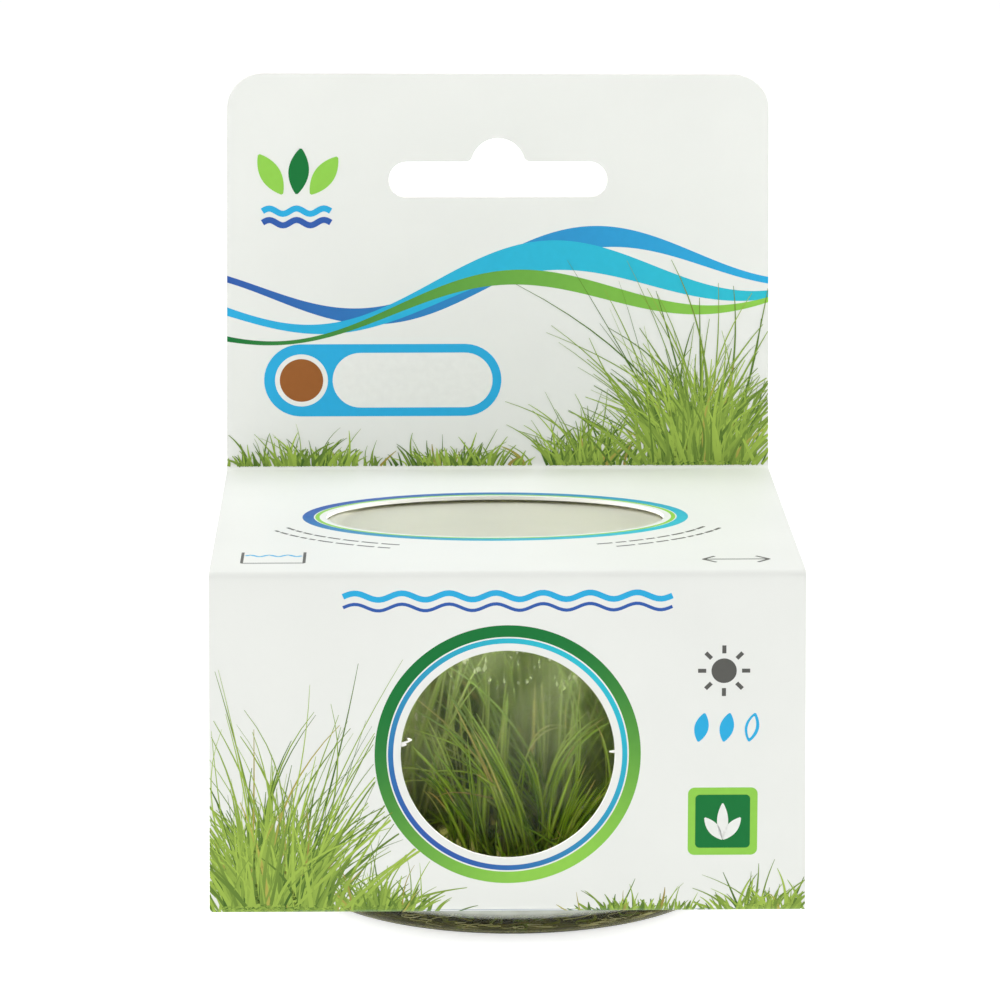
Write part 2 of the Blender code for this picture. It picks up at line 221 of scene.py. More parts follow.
class HairgrassCard(bpy.types.PropertyGroup):
    """Sizes and tones of the folded card."""

    thickness: size("Thickness", "One layer of the card", CARD)
    header_lean: size("Header lean", "How far the header's top curls forward", 0.2 * MM)
    panel_sag: size("Panel sag", "How far the middle of a panel sinks in", 0.15 * MM)
    askew: size("Askew cut", "How much lower the header's top is at its right end", 0.36 * MM)
    coated: colour("Coated side", "The printed side's white", srgb(233, 235, 230))
    raw: colour("Raw side", "The unprinted inner side", srgb(240, 235, 212))
    cut: colour("Cut edge", "The core that a cut shows", srgb(250, 249, 244))


class HairgrassPrint(bpy.types.PropertyGroup):
    """Inks of the printed decoration and how thick their film lies."""

    film: size("Film", "Thickness of the film of ink", 0.02 * MM)
    sky: colour("Sky blue", "Label field and wave lines", srgb(46, 172, 222))
    royal: colour("Royal blue", "Deep end of the waves", srgb(52, 92, 170))
    cyan: colour("Cyan", "Bright end of the waves", srgb(48, 190, 208))
    pine: colour("Dark green", "Deep end of the rings", srgb(22, 116, 56))
    lime: colour("Lime", "Bright end of the rings", srgb(145, 205, 80))
    moss: colour("Moss", "Dark blades of the printed grass", srgb(66, 100, 38))
    straw: colour("Straw green", "Light blades of the printed grass", srgb(168, 196, 84))
    brown: colour("Brown", "The round colour mark", srgb(153, 94, 46))
    grey: colour("Grey", "Small line marks", srgb(92, 92, 88))


class HairgrassCup(bpy.types.PropertyGroup):
    """Finish of the cup, the lid and the gel."""

    plastic: colour("Plastic", "Tint of the clear cup", srgb(250, 252, 240))
    damp: amount("Damp", "How much the wet wall above the gel blurs", 0.24, max=1.0)
    milk: colour("Lid", "Tone of the milky lid", srgb(252, 252, 236))
    gel: colour("Gel", "Tint of the growing gel", srgb(238, 236, 204))
    mist: amount("Mist", "How dense the mist inside the cup is", 0.23, max=1.0)
    drops: count("Drops", "Water drops on the inside of the cup", 420)


class HairgrassPlant(bpy.types.PropertyGroup):
    """How densely the plant grows and what its blades look like."""

    sheaves: count("Sheaves", "Bundles of blades in one tuft", 11)
    blades: count("Blades", "Blades in one sheaf", 9)
    low_blades: count("Low blades", "Short blades round the foot of one tuft", 170)
    width: size("Blade width", "Width of a full blade", 0.78 * MM)
    roots: count("Roots", "Root hairs in the gel", 1000)
    seed: count("Seed", "Start of the random draws", 7)


class HairgrassStage(bpy.types.PropertyGroup):
    """The floor, the light and the camera."""

    floor: colour("Floor", "Tone of the pale floor", srgb(208, 208, 208))
    glow: amount("Glow", "Light that the floor gives off", 0.65)
    sky: amount("Sky", "Even light all round", 0.49)
    top_light: watts("Top light", "Power of the softbox over the pack", 3.6)
    front_light: watts("Front light", "Power of the low softbox in front", 0.1)
    side_light: watts("Side light", "Power of each low softbox at the sides", 3.9)
    back_light: watts("Back light", "Power of the softbox over the floor behind", 0.6)
    lens: amount("Lens", "Focal length on a 36 mm sensor", 164.4, 1.0)


GROUPS = {
    "hairgrass_card": HairgrassCard,
    "hairgrass_print": HairgrassPrint,
    "hairgrass_cup": HairgrassCup,
    "hairgrass_plant": HairgrassPlant,
    "hairgrass_stage": HairgrassStage,
}


def mix(low, high, part):
    return low + (high - low) * part


def tones(first, second, part):
    """Colours on the way from one to another, at an array of shares of it."""
    return mix(np.array(first), np.array(second), part)


def unit(vectors):
    """Vectors of any grid, each brought to length one."""
    return vectors / np.linalg.norm(vectors, axis=-1, keepdims=True)


def shares(number):
    """Even steps from 0 to 1."""
    return np.linspace(0.0, 1.0, number)


def full_circle(number):
    """Angles spread evenly over a full turn, without the one that closes it."""
    return np.linspace(0.0, FULL_TURN, number, endpoint=False)


def direction(angle):
    """Unit vectors in a plane at angles from its first axis."""
    return np.stack([np.cos(angle), np.sin(angle)], -1)


def quadratic(start, middle, end, s):
    """A curve from start to end that is drawn towards a middle point, at shares s of its run."""
    return start * (1 - s) ** 2 + 2 * middle * s * (1 - s) + end * s**2


def about_cup(radius, angle, z):
    """Points at a distance and an angle from the cup's axis, at a height."""
    return np.stack(np.broadcast_arrays(CUP_X + radius * np.cos(angle), radius * np.sin(angle), z), -1)


def numbered(*shape):
    """Indices of the points of a grid of that shape, in the order of its flattened array."""
    return np.arange(np.prod(shape)).reshape(shape)


def quads(index, closed=False):
    """Quads between the points of a grid of indices, rows then columns, over any leading axes.

    A face runs down its first column and back up its second. A closed grid joins its last column
    to its first.
    """
    if closed:
        index = np.concatenate([index, index[..., :1]], axis=-1)
    corners = (index[..., :-1, :-1], index[..., 1:, :-1], index[..., 1:, 1:], index[..., :-1, 1:])
    return np.stack(corners, axis=-1).reshape(-1, 4)


def new_object(name, data):
    """An object that shows a mesh, a light or a camera, linked to the scene."""
    made = bpy.data.objects.new(name, data)
    bpy.context.scene.collection.objects.link(made)
    return made


def mesh_piece(name, points, faces, materials, smooth=True, attributes=None):
    """A mesh object from an array of points and a list of arrays of faces, one for each face size.

    An attribute is a value, or a colour of four, at each point.
    """
    corners = np.concatenate([part.ravel() for part in faces])
    sizes = np.concatenate([np.full(len(part), part.shape[1]) for part in faces])
    used, corners = np.unique(corners, return_inverse=True)
    mesh = bpy.data.meshes.new(name)
    mesh.vertices.add(len(used))
    mesh.vertices.foreach_set("co", np.asarray(points)[used].astype(np.float32).ravel())
    mesh.loops.add(len(corners))
    mesh.loops.foreach_set("vertex_index", corners.ravel().astype(np.int32))
    mesh.polygons.add(len(sizes))
    starts = np.concatenate([[0], np.cumsum(sizes)[:-1]])
    mesh.polygons.foreach_set("loop_start", starts.astype(np.int32))
    mesh.polygons.foreach_set("use_smooth", np.full(len(sizes), smooth))
    for label, values in (attributes or {}).items():
        kind, field = ("FLOAT", "value") if values.ndim == 1 else ("FLOAT_COLOR", "color")
        layer = mesh.attributes.new(label, kind, "POINT")
        layer.data.foreach_set(field, values[used].astype(np.float32).ravel())
    mesh.update(calc_edges=True)
    edge_of_corner = np.empty(len(corners), np.int32)
    mesh.loops.foreach_get("edge_index", edge_of_corner)
    open_edge = np.bincount(edge_of_corner, minlength=len(mesh.edges)) == 1
    if open_edge.any():
        mesh.attributes.new("sharp_edge", "BOOLEAN", "EDGE").data.foreach_set("value", open_edge)
    if mesh.validate():
        raise RuntimeError(f"{name} has faces that do not hold together")
    for material in materials:
        mesh.materials.append(material)
    return new_object(name, mesh)


def wall(piece, thickness, rim_material=0, inner_material=0):
    """Give a sheet its thickness, behind its face, with its own finish inside and on its edge."""
    solid = piece.modifiers.new("Wall", "SOLIDIFY")
    solid.thickness = thickness
    solid.offset = -1.0
    solid.use_even_offset = True
    solid.material_offset = inner_material
    solid.material_offset_rim = rim_material


def settle(piece, slot, *nodes):
    """Tie a finished piece to the body and hide the nodes that it stands for. The slot is not used."""
    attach(piece, "root")
    if nodes:
        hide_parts(*nodes)


class Finish:
    """A node material in the making: a Principled BSDF with short ways to add nodes and join them."""

    def __init__(self, name, tone, roughness, **values):
        self.material = bpy.data.materials.new(name)
        self.material.use_nodes = True
        self.tree = self.material.node_tree
        self.shader = self.tree.nodes["Principled BSDF"]
        self.set("Base Color", tone)
        self.set("Roughness", roughness)
        for label, value in values.items():
            self.set(label.replace("_", " "), value)
        self.place = self.tree.nodes.new("ShaderNodeTexCoord").outputs["Object"]

    def put(self, node, label, value):
        """Set a socket to a number or colour, or link it to another node's output."""
        socket = node.inputs[label]
        if isinstance(value, bpy.types.NodeSocket):
            self.tree.links.new(value, socket)
        else:
            socket.default_value = (*value, 1.0) if socket.type == "RGBA" else value

    def set(self, label, value):
        """Set or link one of the shader's own inputs."""
        self.put(self.shader, label, value)

    def node(self, kind, output, inputs=None, **settings):
        """Add a node with its settings and inputs, and return one of its outputs."""
        made = self.tree.nodes.new(kind)
        for label, value in settings.items():
            setattr(made, label, value)
        for label, value in (inputs or {}).items():
            self.put(made, label, value)
        return made.outputs[output]

    def axis(self, letter):
        """How far the shaded point lies along X, Y or Z."""
        return self.node("ShaderNodeSeparateXYZ", letter, {"Vector": self.place})

    def attribute(self, name, output="Fac"):
        """What the mesh carries under a name at the shaded point."""
        return self.node("ShaderNodeAttribute", output, attribute_name=name)

    def times(self, first, second):
        return self.node("ShaderNodeMath", "Value", {0: first, 1: second}, operation="MULTIPLY")

    def plus(self, first, second):
        return self.node("ShaderNodeMath", "Value", {0: first, 1: second}, operation="ADD")

    def noise(self, scale, detail=3.0, vector=None):
        inputs = {"Vector": vector or self.place, "Scale": scale, "Detail": detail}
        return self.node("ShaderNodeTexNoise", "Fac", inputs)

    def ramp(self, value, stops):
        """Colour by a value, from a few stops of (position, colour)."""
        made = self.tree.nodes.new("ShaderNodeValToRGB")
        self.put(made, "Fac", value)
        stop_list = made.color_ramp.elements
        while len(stop_list) < len(stops):
            stop_list.new(0.5)
        for stop, (position, tone) in zip(stop_list, stops):
            stop.position = position
            stop.color = (*tone, 1.0)
        return made.outputs["Color"]

    def blend(self, first, second, part, mode="MIX"):
        """Mix two colours by a share that may vary over the surface."""
        inputs = {"Factor": part, 6: first, 7: second}
        return self.node("ShaderNodeMix", 2, inputs, data_type="RGBA", blend_type=mode)

    def spread(self, value, low, high, start=0.3, end=0.7):
        """Stretch a value that runs from start to end so that it runs from low to high."""
        inputs = {"Value": value, "From Min": start, "From Max": end, "To Min": low, "To Max": high}
        return self.node("ShaderNodeMapRange", "Result", inputs)

    def cloud(self, tone, share, scale, detail=3.0):
        """Let the base colour drift between a tone and a share of it."""
        other = tuple(min(1.0, share * value) for value in tone)
        drift = self.spread(self.noise(scale, detail), 0.0, 1.0)
        self.set("Base Color", self.blend(tone, other, drift))

    def end(self, output, label):
        """Link an output to the material's own output."""
        self.tree.links.new(output, self.tree.nodes["Material Output"].inputs[label])

    def bump(self, height, distance, strength=1.0):
        inputs = {"Height": height, "Distance": distance, "Strength": strength}
        self.set("Normal", self.node("ShaderNodeBump", "Normal", inputs))


def strip(t):
    """The card's outer face at t along its pattern: y, z and the heading there.

    The path is the sum of its stretches: a straight adds its length along its heading, and a fold
    adds the chord of an arc, each as far as t has come along it.
    """
    t = np.asarray(t, float)
    y = np.full(t.shape, HEADER_FRONT)
    z = np.full(t.shape, HEADER_TOP)
    heading = np.full(t.shape, -QUARTER)
    facing = -QUARTER
    for name, (length, turn) in STRETCHES.items():
        run = np.clip(t - STARTS[name], 0.0, length)
        if turn:
            curve = turn / length
            now = facing + curve * run
            y += (np.sin(now) - np.sin(facing)) / curve
            z += (np.cos(facing) - np.cos(now)) / curve
        else:
            y += run * np.cos(facing)
            z += run * np.sin(facing)
        heading += run * turn / length
        facing += turn
    return y, z, heading


def half_width(y, z):
    """Half the card's width where the strip passes (y, z): even tapers, and arcs at the header's top."""
    up = (z - CARD_BOTTOM) / FRONT_HEIGHT
    back = (y + HALF_DEPTH) / (2 * HALF_DEPTH)
    front_width = mix(FRONT_FOOT_WIDTH, FRONT_TOP_WIDTH, up)
    back_width = mix(FRONT_FOOT_WIDTH, BACK_FOLD_WIDTH, up)
    header_width = mix(BACK_FOLD_WIDTH, HEADER_TOP_WIDTH, (z - CARD_TOP) / HEADER_HEIGHT)
    above = np.clip(z - (HEADER_TOP - HEADER_CORNER), 0.0, HEADER_CORNER)
    corner = HEADER_CORNER - np.sqrt(HEADER_CORNER**2 - above**2)
    return np.where(z > CARD_TOP, header_width / 2 - corner, mix(front_width, back_width, back) / 2)


def along(panel, place):
    """How far along the pattern a height or depth on a panel lies."""
    first, sense = PANELS[panel]
    return STARTS[panel] + sense * (np.asarray(place, float) - first)


def bend(x, t, card):
    """How far the card stands out of flat: panels sink by a squared sine, and the header curls."""
    out = np.zeros(np.broadcast(x, t).shape)
    for panel in ("top", "front", "bottom"):
        part = np.clip((t - STARTS[panel]) / STRETCHES[panel][0], 0.0, 1.0)
        across = 1.0 - 0.5 * (x / (FRONT_FOOT_WIDTH / 2)) ** 2
        out -= card.panel_sag * np.sin(np.pi * part) ** 2 * across
    rise = 1.0 - np.clip(t / STRETCHES["header"][0], 0.0, 1.0)
    fold_end = along("back", CARD_TOP + FOLD)
    back_rise = np.clip((t - fold_end) / (HEADER_HEIGHT - FOLD), 0.0, 1.0)
    return out + card.header_lean * (rise**2 - back_rise**2)


def on_card(x, t, card, lift=0.0):
    """Points of the card's outer face, x across it and t along its pattern, lifted off its face.

    The header's top edge is cut a little lower towards the right, by an even slope.
    """
    y, z, heading = strip(t)
    out = bend(x, t, card) + lift
    rise = np.clip((z - CARD_TOP) / HEADER_HEIGHT, 0.0, 1.0) ** 6
    askew = card.askew * rise * (0.5 + x / HEADER_TOP_WIDTH)
    return np.stack(np.broadcast_arrays(x, y + out * np.sin(heading), z - out * np.cos(heading) - askew), -1)


def card_rows():
    """Where the card's rows of points lie along its pattern: closer at its folds and round corners."""
    corner = HEADER_CORNER * (1 - np.cos(np.linspace(0.0, QUARTER, CORNER_STEPS)))
    spacing = {"header": 0.85 * MM, "top": 1.2 * MM, "front": 0.9 * MM, "bottom": 1.3 * MM, "back": 1.1 * MM}
    rows = [corner]
    last = corner[-1]
    for name, (length, turn) in STRETCHES.items():
        end = STARTS[name] + length
        if name == "back":
            end -= HEADER_CORNER
        steps = FOLD_STEPS if turn else int(np.ceil((end - last) / spacing[name]))
        rows.append(np.linspace(last, end, steps + 1)[1:])
        last = end
    rows.append(last + HEADER_CORNER * np.sin(np.linspace(0.0, QUARTER, CORNER_STEPS))[1:])
    return np.concatenate(rows)


def arc(centre, radius, start, end, steps=24):
    """Points of an arc between two angles in degrees, both ends included."""
    angle = np.radians(np.linspace(start, end, steps))
    return np.array(centre) + radius * direction(angle)


def resample(curve, number):
    """Spread points over an outline, closer where it turns, without its last point."""
    step = np.diff(curve, axis=0)
    way = np.unwrap(np.arctan2(step[:, 1], step[:, 0]))
    turn = np.abs(np.diff(way, prepend=way[0]))
    weight = np.hypot(*step.T) + 1.2 * MM * turn
    run = np.concatenate([[0.0], np.cumsum(weight)])
    at = np.linspace(0.0, run[-1], number, endpoint=False)
    return np.stack([np.interp(at, run, curve[:, 0]), np.interp(at, run, curve[:, 1])], -1)


def slot_sides():
    """The hanging slot in (x, height): its upper side, right end, lower side and left end, clockwise."""
    half, end = SLOT_HALF
    run = half - end
    rise = end + SLOT_FILLET - BUMP_UP
    aside = np.sqrt((BUMP_RADIUS + SLOT_FILLET) ** 2 - rise**2)
    lean = np.degrees(np.arctan2(rise, aside))
    fillet_up = end + SLOT_FILLET
    upper = np.concatenate([
        arc((-run, 0.0), end, 135, 90),
        arc((-aside, fillet_up), SLOT_FILLET, -90, -lean),
        arc((0.0, BUMP_UP), BUMP_RADIUS, 180 - lean, lean, 60)[1:-1],
        arc((aside, fillet_up), SLOT_FILLET, lean - 180, -90),
        arc((run, 0.0), end, 90, 45),
    ])
    lower = np.concatenate([arc((run, 0.0), end, -45, -90), arc((-run, 0.0), end, -90, -135)])
    return [upper, arc((run, 0.0), end, 45, -45), lower, arc((-run, 0.0), end, 225, 135)]


def round_hole(panel, centre, half_x, half_along):
    """A circle or oval in (x, t), as the reach of its block and a function that gives its edge."""
    middle = float(along(panel, centre[1]))

    def edge(columns, rows):
        sides = zip((-135, -45, 45, 135), (columns, rows, columns, rows))
        angle = np.radians(np.concatenate([start + 90 * np.arange(n) / n for start, n in sides]))
        return np.array((centre[0], middle)) + np.array((half_x, half_along)) * direction(angle)

    return (centre[0] - half_x, centre[0] + half_x, middle - half_along, middle + half_along), edge


def slot_hole(panel):
    """The hanging slot in (x, t). On the back it runs the other way up along the pattern."""
    middle = float(along(panel, SLOT_MIDDLE))
    sense = PANELS[panel][1]
    sides = slot_sides()
    if sense > 0:
        sides = [sides[2][::-1], sides[1][::-1], sides[0][::-1], sides[3][::-1]]

    def edge(columns, rows):
        numbers = (columns, rows, columns, rows)
        outline = np.concatenate([resample(side, n) for side, n in zip(sides, numbers)])
        return np.stack([outline[:, 0], middle + sense * outline[:, 1]], -1)

    high = BUMP_UP + BUMP_RADIUS
    reach = (middle - high, middle + SLOT_HALF[1]) if sense < 0 else (middle - SLOT_HALF[1], middle + high)
    return (-SLOT_HALF[0], SLOT_HALF[0], *reach), edge


def card_surface(card):
    """The whole folded card: a grid of columns across by rows along its pattern.

    Round each opening a block of cells is left out, and rings of points run evenly from the
    block's rim to the opening's edge.
    """
    rows = card_rows()
    y, z, _ = strip(rows)
    columns = np.linspace(-1.0, 1.0, CARD_COLUMNS)
    x = half_width(y, z)[:, None] * columns
    t = np.broadcast_to(rows[:, None], x.shape)
    flat = [np.stack([x, t], -1).reshape(-1, 2)]
    index = numbered(*x.shape)
    cell_used = np.ones((len(rows) - 1, len(columns) - 1), bool)
    faces = []
    total = x.size
    openings = (
        slot_hole("header"),
        round_hole("top", OVAL_MIDDLE, *OVAL_HALF),
        round_hole("front", (0.0, WINDOW_MIDDLE), WINDOW_RADIUS, WINDOW_RADIUS),
        round_hole("bottom", (CUP_X, 0.0), FOOT_HOLE_RADIUS, FOOT_HOLE_RADIUS),
        slot_hole("back"),
    )
    margin = 1.2 * MM
    for (left, right, low, high), edge in openings:
        top_row = np.searchsorted(rows, low - margin) - 1
        foot_row = np.searchsorted(rows, high + margin)
        across = x[(top_row + foot_row) // 2]
        first = np.searchsorted(across, left - margin) - 1
        last = np.searchsorted(across, right + margin)
        cell_used[top_row:foot_row, first:last] = False
        rim = np.concatenate([
            index[top_row, first:last],
            index[top_row:foot_row, last],
            index[foot_row, last:first:-1],
            index[foot_row:top_row:-1, first],
        ])
        hole = edge(last - first, foot_row - top_row)
        part = (np.arange(1, RINGS_ROUND_HOLE + 1) / RINGS_ROUND_HOLE)[:, None, None]
        outside = flat[0][rim]
        flat.append(mix(outside, hole, part).reshape(-1, 2))
        inner = total + numbered(RINGS_ROUND_HOLE, len(rim))
        faces.append(quads(np.concatenate([rim[None], inner]), closed=True))
        total += inner.size
    faces.append(quads(index)[cell_used.ravel()])
    flat = np.concatenate(flat)
    return on_card(flat[:, 0], flat[:, 1], card), [np.concatenate(faces)]


def board_finish(name, tone, roughness, fibre):
    """Card: a white that varies a little, with the faint tooth of pressed fibres."""
    finish = Finish(name, tone, roughness, Specular_IOR_Level=0.35)
    finish.cloud(tone, 0.975, 55.0, 4.0)
    tooth = finish.noise(2600.0, 4.0)
    finish.bump(tooth, fibre)
    finish.set("Roughness", finish.spread(tooth, roughness - 0.05, roughness + 0.07))
    return finish.material


def torn_tab(start, reach, rise, width, card):
    """A paper tab left by the cutter: a spike that starts under the window's edge.

    Its first parameter runs from root to tip along (reach, rise), its second across it. It
    narrows as one less the first to the power 2.4, with a torn, wavy edge, and dips inwards.
    """
    u = shares(TAB_GRID[0])[:, None]
    v = np.linspace(-0.5, 0.5, TAB_GRID[1])[None, :]
    breadth = width * (0.03 + 0.97 * (1.0 - u) ** 2.4) * (1.0 + 0.22 * np.sin(11.0 * u + 9.0 * v))
    x = start[0] + reach * u - rise / abs(reach) * breadth * v
    z = start[1] + rise * u + breadth * v
    points = on_card(x, along("front", z), card)
    points[..., 1] += 0.05 * MM + (0.22 * u**2 + 0.06 * np.sin(5.0 * v + 3.0 * u)) * MM
    return points


class HAIRGRASS_OT_card(bpy.types.Operator):
    """Make the folded card with its openings, and the paper tabs at the round window"""

    bl_idname = "hairgrass.card"
    bl_label = "Card sleeve"

    def execute(self, context):
        card = context.scene.hairgrass_card
        coated = board_finish("coated_card", card.coated, 0.42, 0.004 * MM)
        raw = board_finish("raw_card", card.raw, 0.85, 0.012 * MM)
        cut = board_finish("cut_card", card.cut, 0.8, 0.015 * MM)
        points, faces = card_surface(card)
        sleeve = mesh_piece("card_sleeve_folded", points, faces, (coated, raw, cut))
        wall(sleeve, card.thickness, rim_material=2, inner_material=1)
        settle(sleeve, "white_card", "card_sleeve")
        edge = WINDOW_RADIUS - 0.04 * MM
        for number, (up, reach, rise, width) in enumerate(TORN_TABS):
            angle = np.arcsin(up * MM / edge)
            if reach > 0:
                angle = np.pi - angle
            start = np.array((0.0, WINDOW_MIDDLE)) + edge * direction(angle)
            grid = torn_tab(start, reach * MM, rise * MM, width * MM, card)
            index = numbered(*TAB_GRID)
            faces = quads(index if reach > 0 else index[:, ::-1])
            tab = mesh_piece(f"torn_tab_{number + 1}", grid.reshape(-1, 3), [faces], (cut,))
            wall(tab, 0.1 * MM)
            settle(tab, "white_card")
        return {"FINISHED"}


class Print:
    """Bands of ink gathered for one panel, each with a colour at each of its points."""

    def __init__(self, panel, card):
        self.panel = panel
        self.card = card
        self.points = []
        self.inks = []
        self.faces = []
        self.total = 0
        self.layer = 1

    def lay(self, first, second, ink, across=1, closed=False):
        """Fill the space between two edges, arrays of (x, place) over bands and points along them.

        ink is one colour, or a colour at each point. Each band lies a hair above the one before,
        and each layer above the one under it.
        """
        first, second = (edge.reshape(-1, *edge.shape[-2:]) for edge in (first, second))
        bands, steps = first.shape[:2]
        part = shares(across + 1)[None, :, None, None]
        flat = mix(first[:, None], second[:, None], part)
        t = along(self.panel, flat[..., 1])
        y, z, _ = strip(t)
        side = half_width(y, z) - 0.03 * MM
        x = np.clip(flat[..., 0], -side, side)
        lift = (0.004 * self.layer + 0.00005 * np.arange(bands)) * MM
        self.points.append(on_card(x, t, self.card, lift[:, None, None]).reshape(-1, 3))
        tone = np.broadcast_to(np.asarray(ink, float), (bands, steps, 3))
        tone = np.broadcast_to(tone[:, None], (bands, across + 1, steps, 3)).reshape(-1, 3)
        self.inks.append(np.concatenate([tone, np.ones((len(tone), 1))], -1))
        index = self.total + numbered(*x.shape)
        turned = self.area(x, t) > 0
        for flip in (False, True):
            chosen = index[turned == flip]
            if len(chosen):
                made = quads(chosen, closed)
                self.faces.append(made[:, ::-1] if flip else made)
        self.total += x.size

    @staticmethod
    def area(x, t):
        """Twice the signed area of each band's middle cell, which tells which way it faces."""
        m = x.shape[2] // 2
        ax, at = x[:, 1, m] - x[:, 0, m], t[:, 1, m] - t[:, 0, m]
        bx, bt = x[:, 0, m] - x[:, 0, m - 1], t[:, 0, m] - t[:, 0, m - 1]
        return ax * bt - at * bx

    def field(self, middle, half, radius, ink, across=4):
        """A rounded field: at each x, the height of its edge is its half less the corner arc's drop."""
        angle = np.linspace(0.03, np.pi - 0.03, 41)
        off = -half[0] * np.cos(angle)
        past = np.clip(np.abs(off) - (half[0] - radius), 0.0, radius)
        high = half[1] - radius + np.sqrt(radius**2 - past**2)
        x = middle[0] + off
        self.band(x, middle[1], high, ink, across)

    def band(self, x, level, half, ink, across):
        """Fill between the heights that lie half under and half over a level."""
        self.lay(np.stack([x, level - half], -1), np.stack([x, level + half], -1), ink, across)

    def disc(self, middle, radius, ink):
        self.field(middle, (radius, radius), radius, ink, 2)

    def ring(self, middle, inner, outer, ink, stretch=1.0):
        """A plain ring between two radii, its depth stretched for an oval."""
        way = direction(full_circle(RING_STEPS))
        ratio = np.array((1.0, stretch))
        near = np.array(middle) + way * inner * ratio
        far = np.array(middle) + way * (inner * ratio + outer - inner)
        self.lay(near, far, ink, closed=True)

    def stroke(self, lines, widths, ink):
        """Strokes along lines of (x, place): each edge is half a width off the line."""
        lines = np.asarray(lines, float)
        lines = lines if lines.ndim == 3 else lines[None]
        way = unit(np.gradient(lines, axis=1))
        side = np.stack([-way[..., 1], way[..., 0]], -1)
        half = np.broadcast_to(np.asarray(widths, float), lines.shape[:2])[..., None] / 2
        self.lay(lines - side * half, lines + side * half, ink)

    def leaf(self, root, length, width, lean, ink):
        """A leaf mark: a stroke whose width swells and closes with a sine."""
        s = np.linspace(0.02, 0.98, 15)
        angle = np.radians(lean)
        line = np.array(root) + length * s[:, None] * np.array((np.sin(angle), np.cos(angle)))
        self.stroke(line, width * np.sin(np.pi * s) ** 0.8, ink)

    def piece(self, material, film):
        """Make the gathered bands into one piece, raised into a film of ink."""
        made = mesh_piece(
            f"printing_{self.panel}",
            np.concatenate(self.points),
            [np.concatenate(self.faces)],
            (material,),
            smooth=False,
            attributes={"ink": np.concatenate(self.inks)},
        )
        wall(made, film)
        settle(made, "white_card")


def ink_finish():
    """Printing ink: the colour that each point carries, with a soft sheen and a faint grain."""
    finish = Finish("printing_ink", (0.5, 0.5, 0.5), 0.38, Specular_IOR_Level=0.12)
    ink = finish.attribute("ink", "Color")
    grain = finish.spread(finish.noise(900.0, 2.0), 0.975, 1.015)
    finish.set("Roughness", finish.spread(finish.noise(300.0), 0.34, 0.44))
    shaded = finish.node("ShaderNodeVectorMath", "Vector", {0: ink, "Scale": grain}, operation="SCALE")
    finish.set("Base Color", shaded)
    return finish.material


def grass_print(printed, inks, dice, clumps, foot):
    """Printed grass: each blade is a line that rises from the foot and leans as the square of its run.

    clumps holds (x, half spread, height, number) of each clump. A blade ends where it meets the
    card's side or the ring round the window.
    """
    steps, trials = 16, 60

    def course(run, middle, spread, seat, rise, lean, curl):
        x = middle + spread * seat + rise * (lean * run + curl * run**2)
        return x, foot + rise * run * (1.0 - 0.25 * np.abs(curl) * run)

    for middle, spread, height, number in clumps:
        seat = dice.normal(0.0, 0.45, (number, 1))
        tall = dice.random((number, 1)) ** 6.0
        rise = height * (dice.uniform(0.2, 0.42, (number, 1)) + 0.58 * tall) / (1.0 + 0.5 * seat**2)
        lean = 0.35 * seat + dice.normal(0.0, 0.26, (number, 1))
        curl = dice.normal(0.0, 0.3, (number, 1)) + 0.3 * seat
        shape = (middle, spread, seat, rise, lean, curl)
        trial = shares(trials)
        x, z = course(trial, *shape)
        _, level, _ = strip(along(printed.panel, z))
        panel_y = HEADER_FRONT if printed.panel == "header" else -HALF_DEPTH
        inside = np.abs(x) < half_width(panel_y, level) - 0.05 * MM
        inside &= np.hypot(x, z - WINDOW_MIDDLE) > RING_RADIUS + 0.1 * MM
        length = np.where(inside.all(axis=1), trials, np.argmin(inside, axis=1)) / trials
        kept = length > 0.1
        run = length[kept, None] * shares(steps) ** 1.5
        x, z = course(run, middle, spread, *(value[kept] for value in shape[2:]))
        breadth = dice.uniform(0.2, 0.62, number)[kept, None] * (1.0 - 0.4 * tall[kept])
        width = breadth * MM * (1.0 - 0.82 * run**1.6)
        order = np.linspace(0.0, 0.45, number) + dice.normal(0.12, 0.26, number)
        share = np.clip(order, 0.0, 0.8)[kept, None] + 0.2 * run
        tone = tones(inks.moss, inks.straw, share[..., None])
        dry = dice.random(len(tone)) < 0.035
        tone[dry] = tones(tone[dry], srgb(190, 156, 84), 0.55)
        printed.stroke(np.stack([x, z], -1), width, tone)
        printed.layer += 1


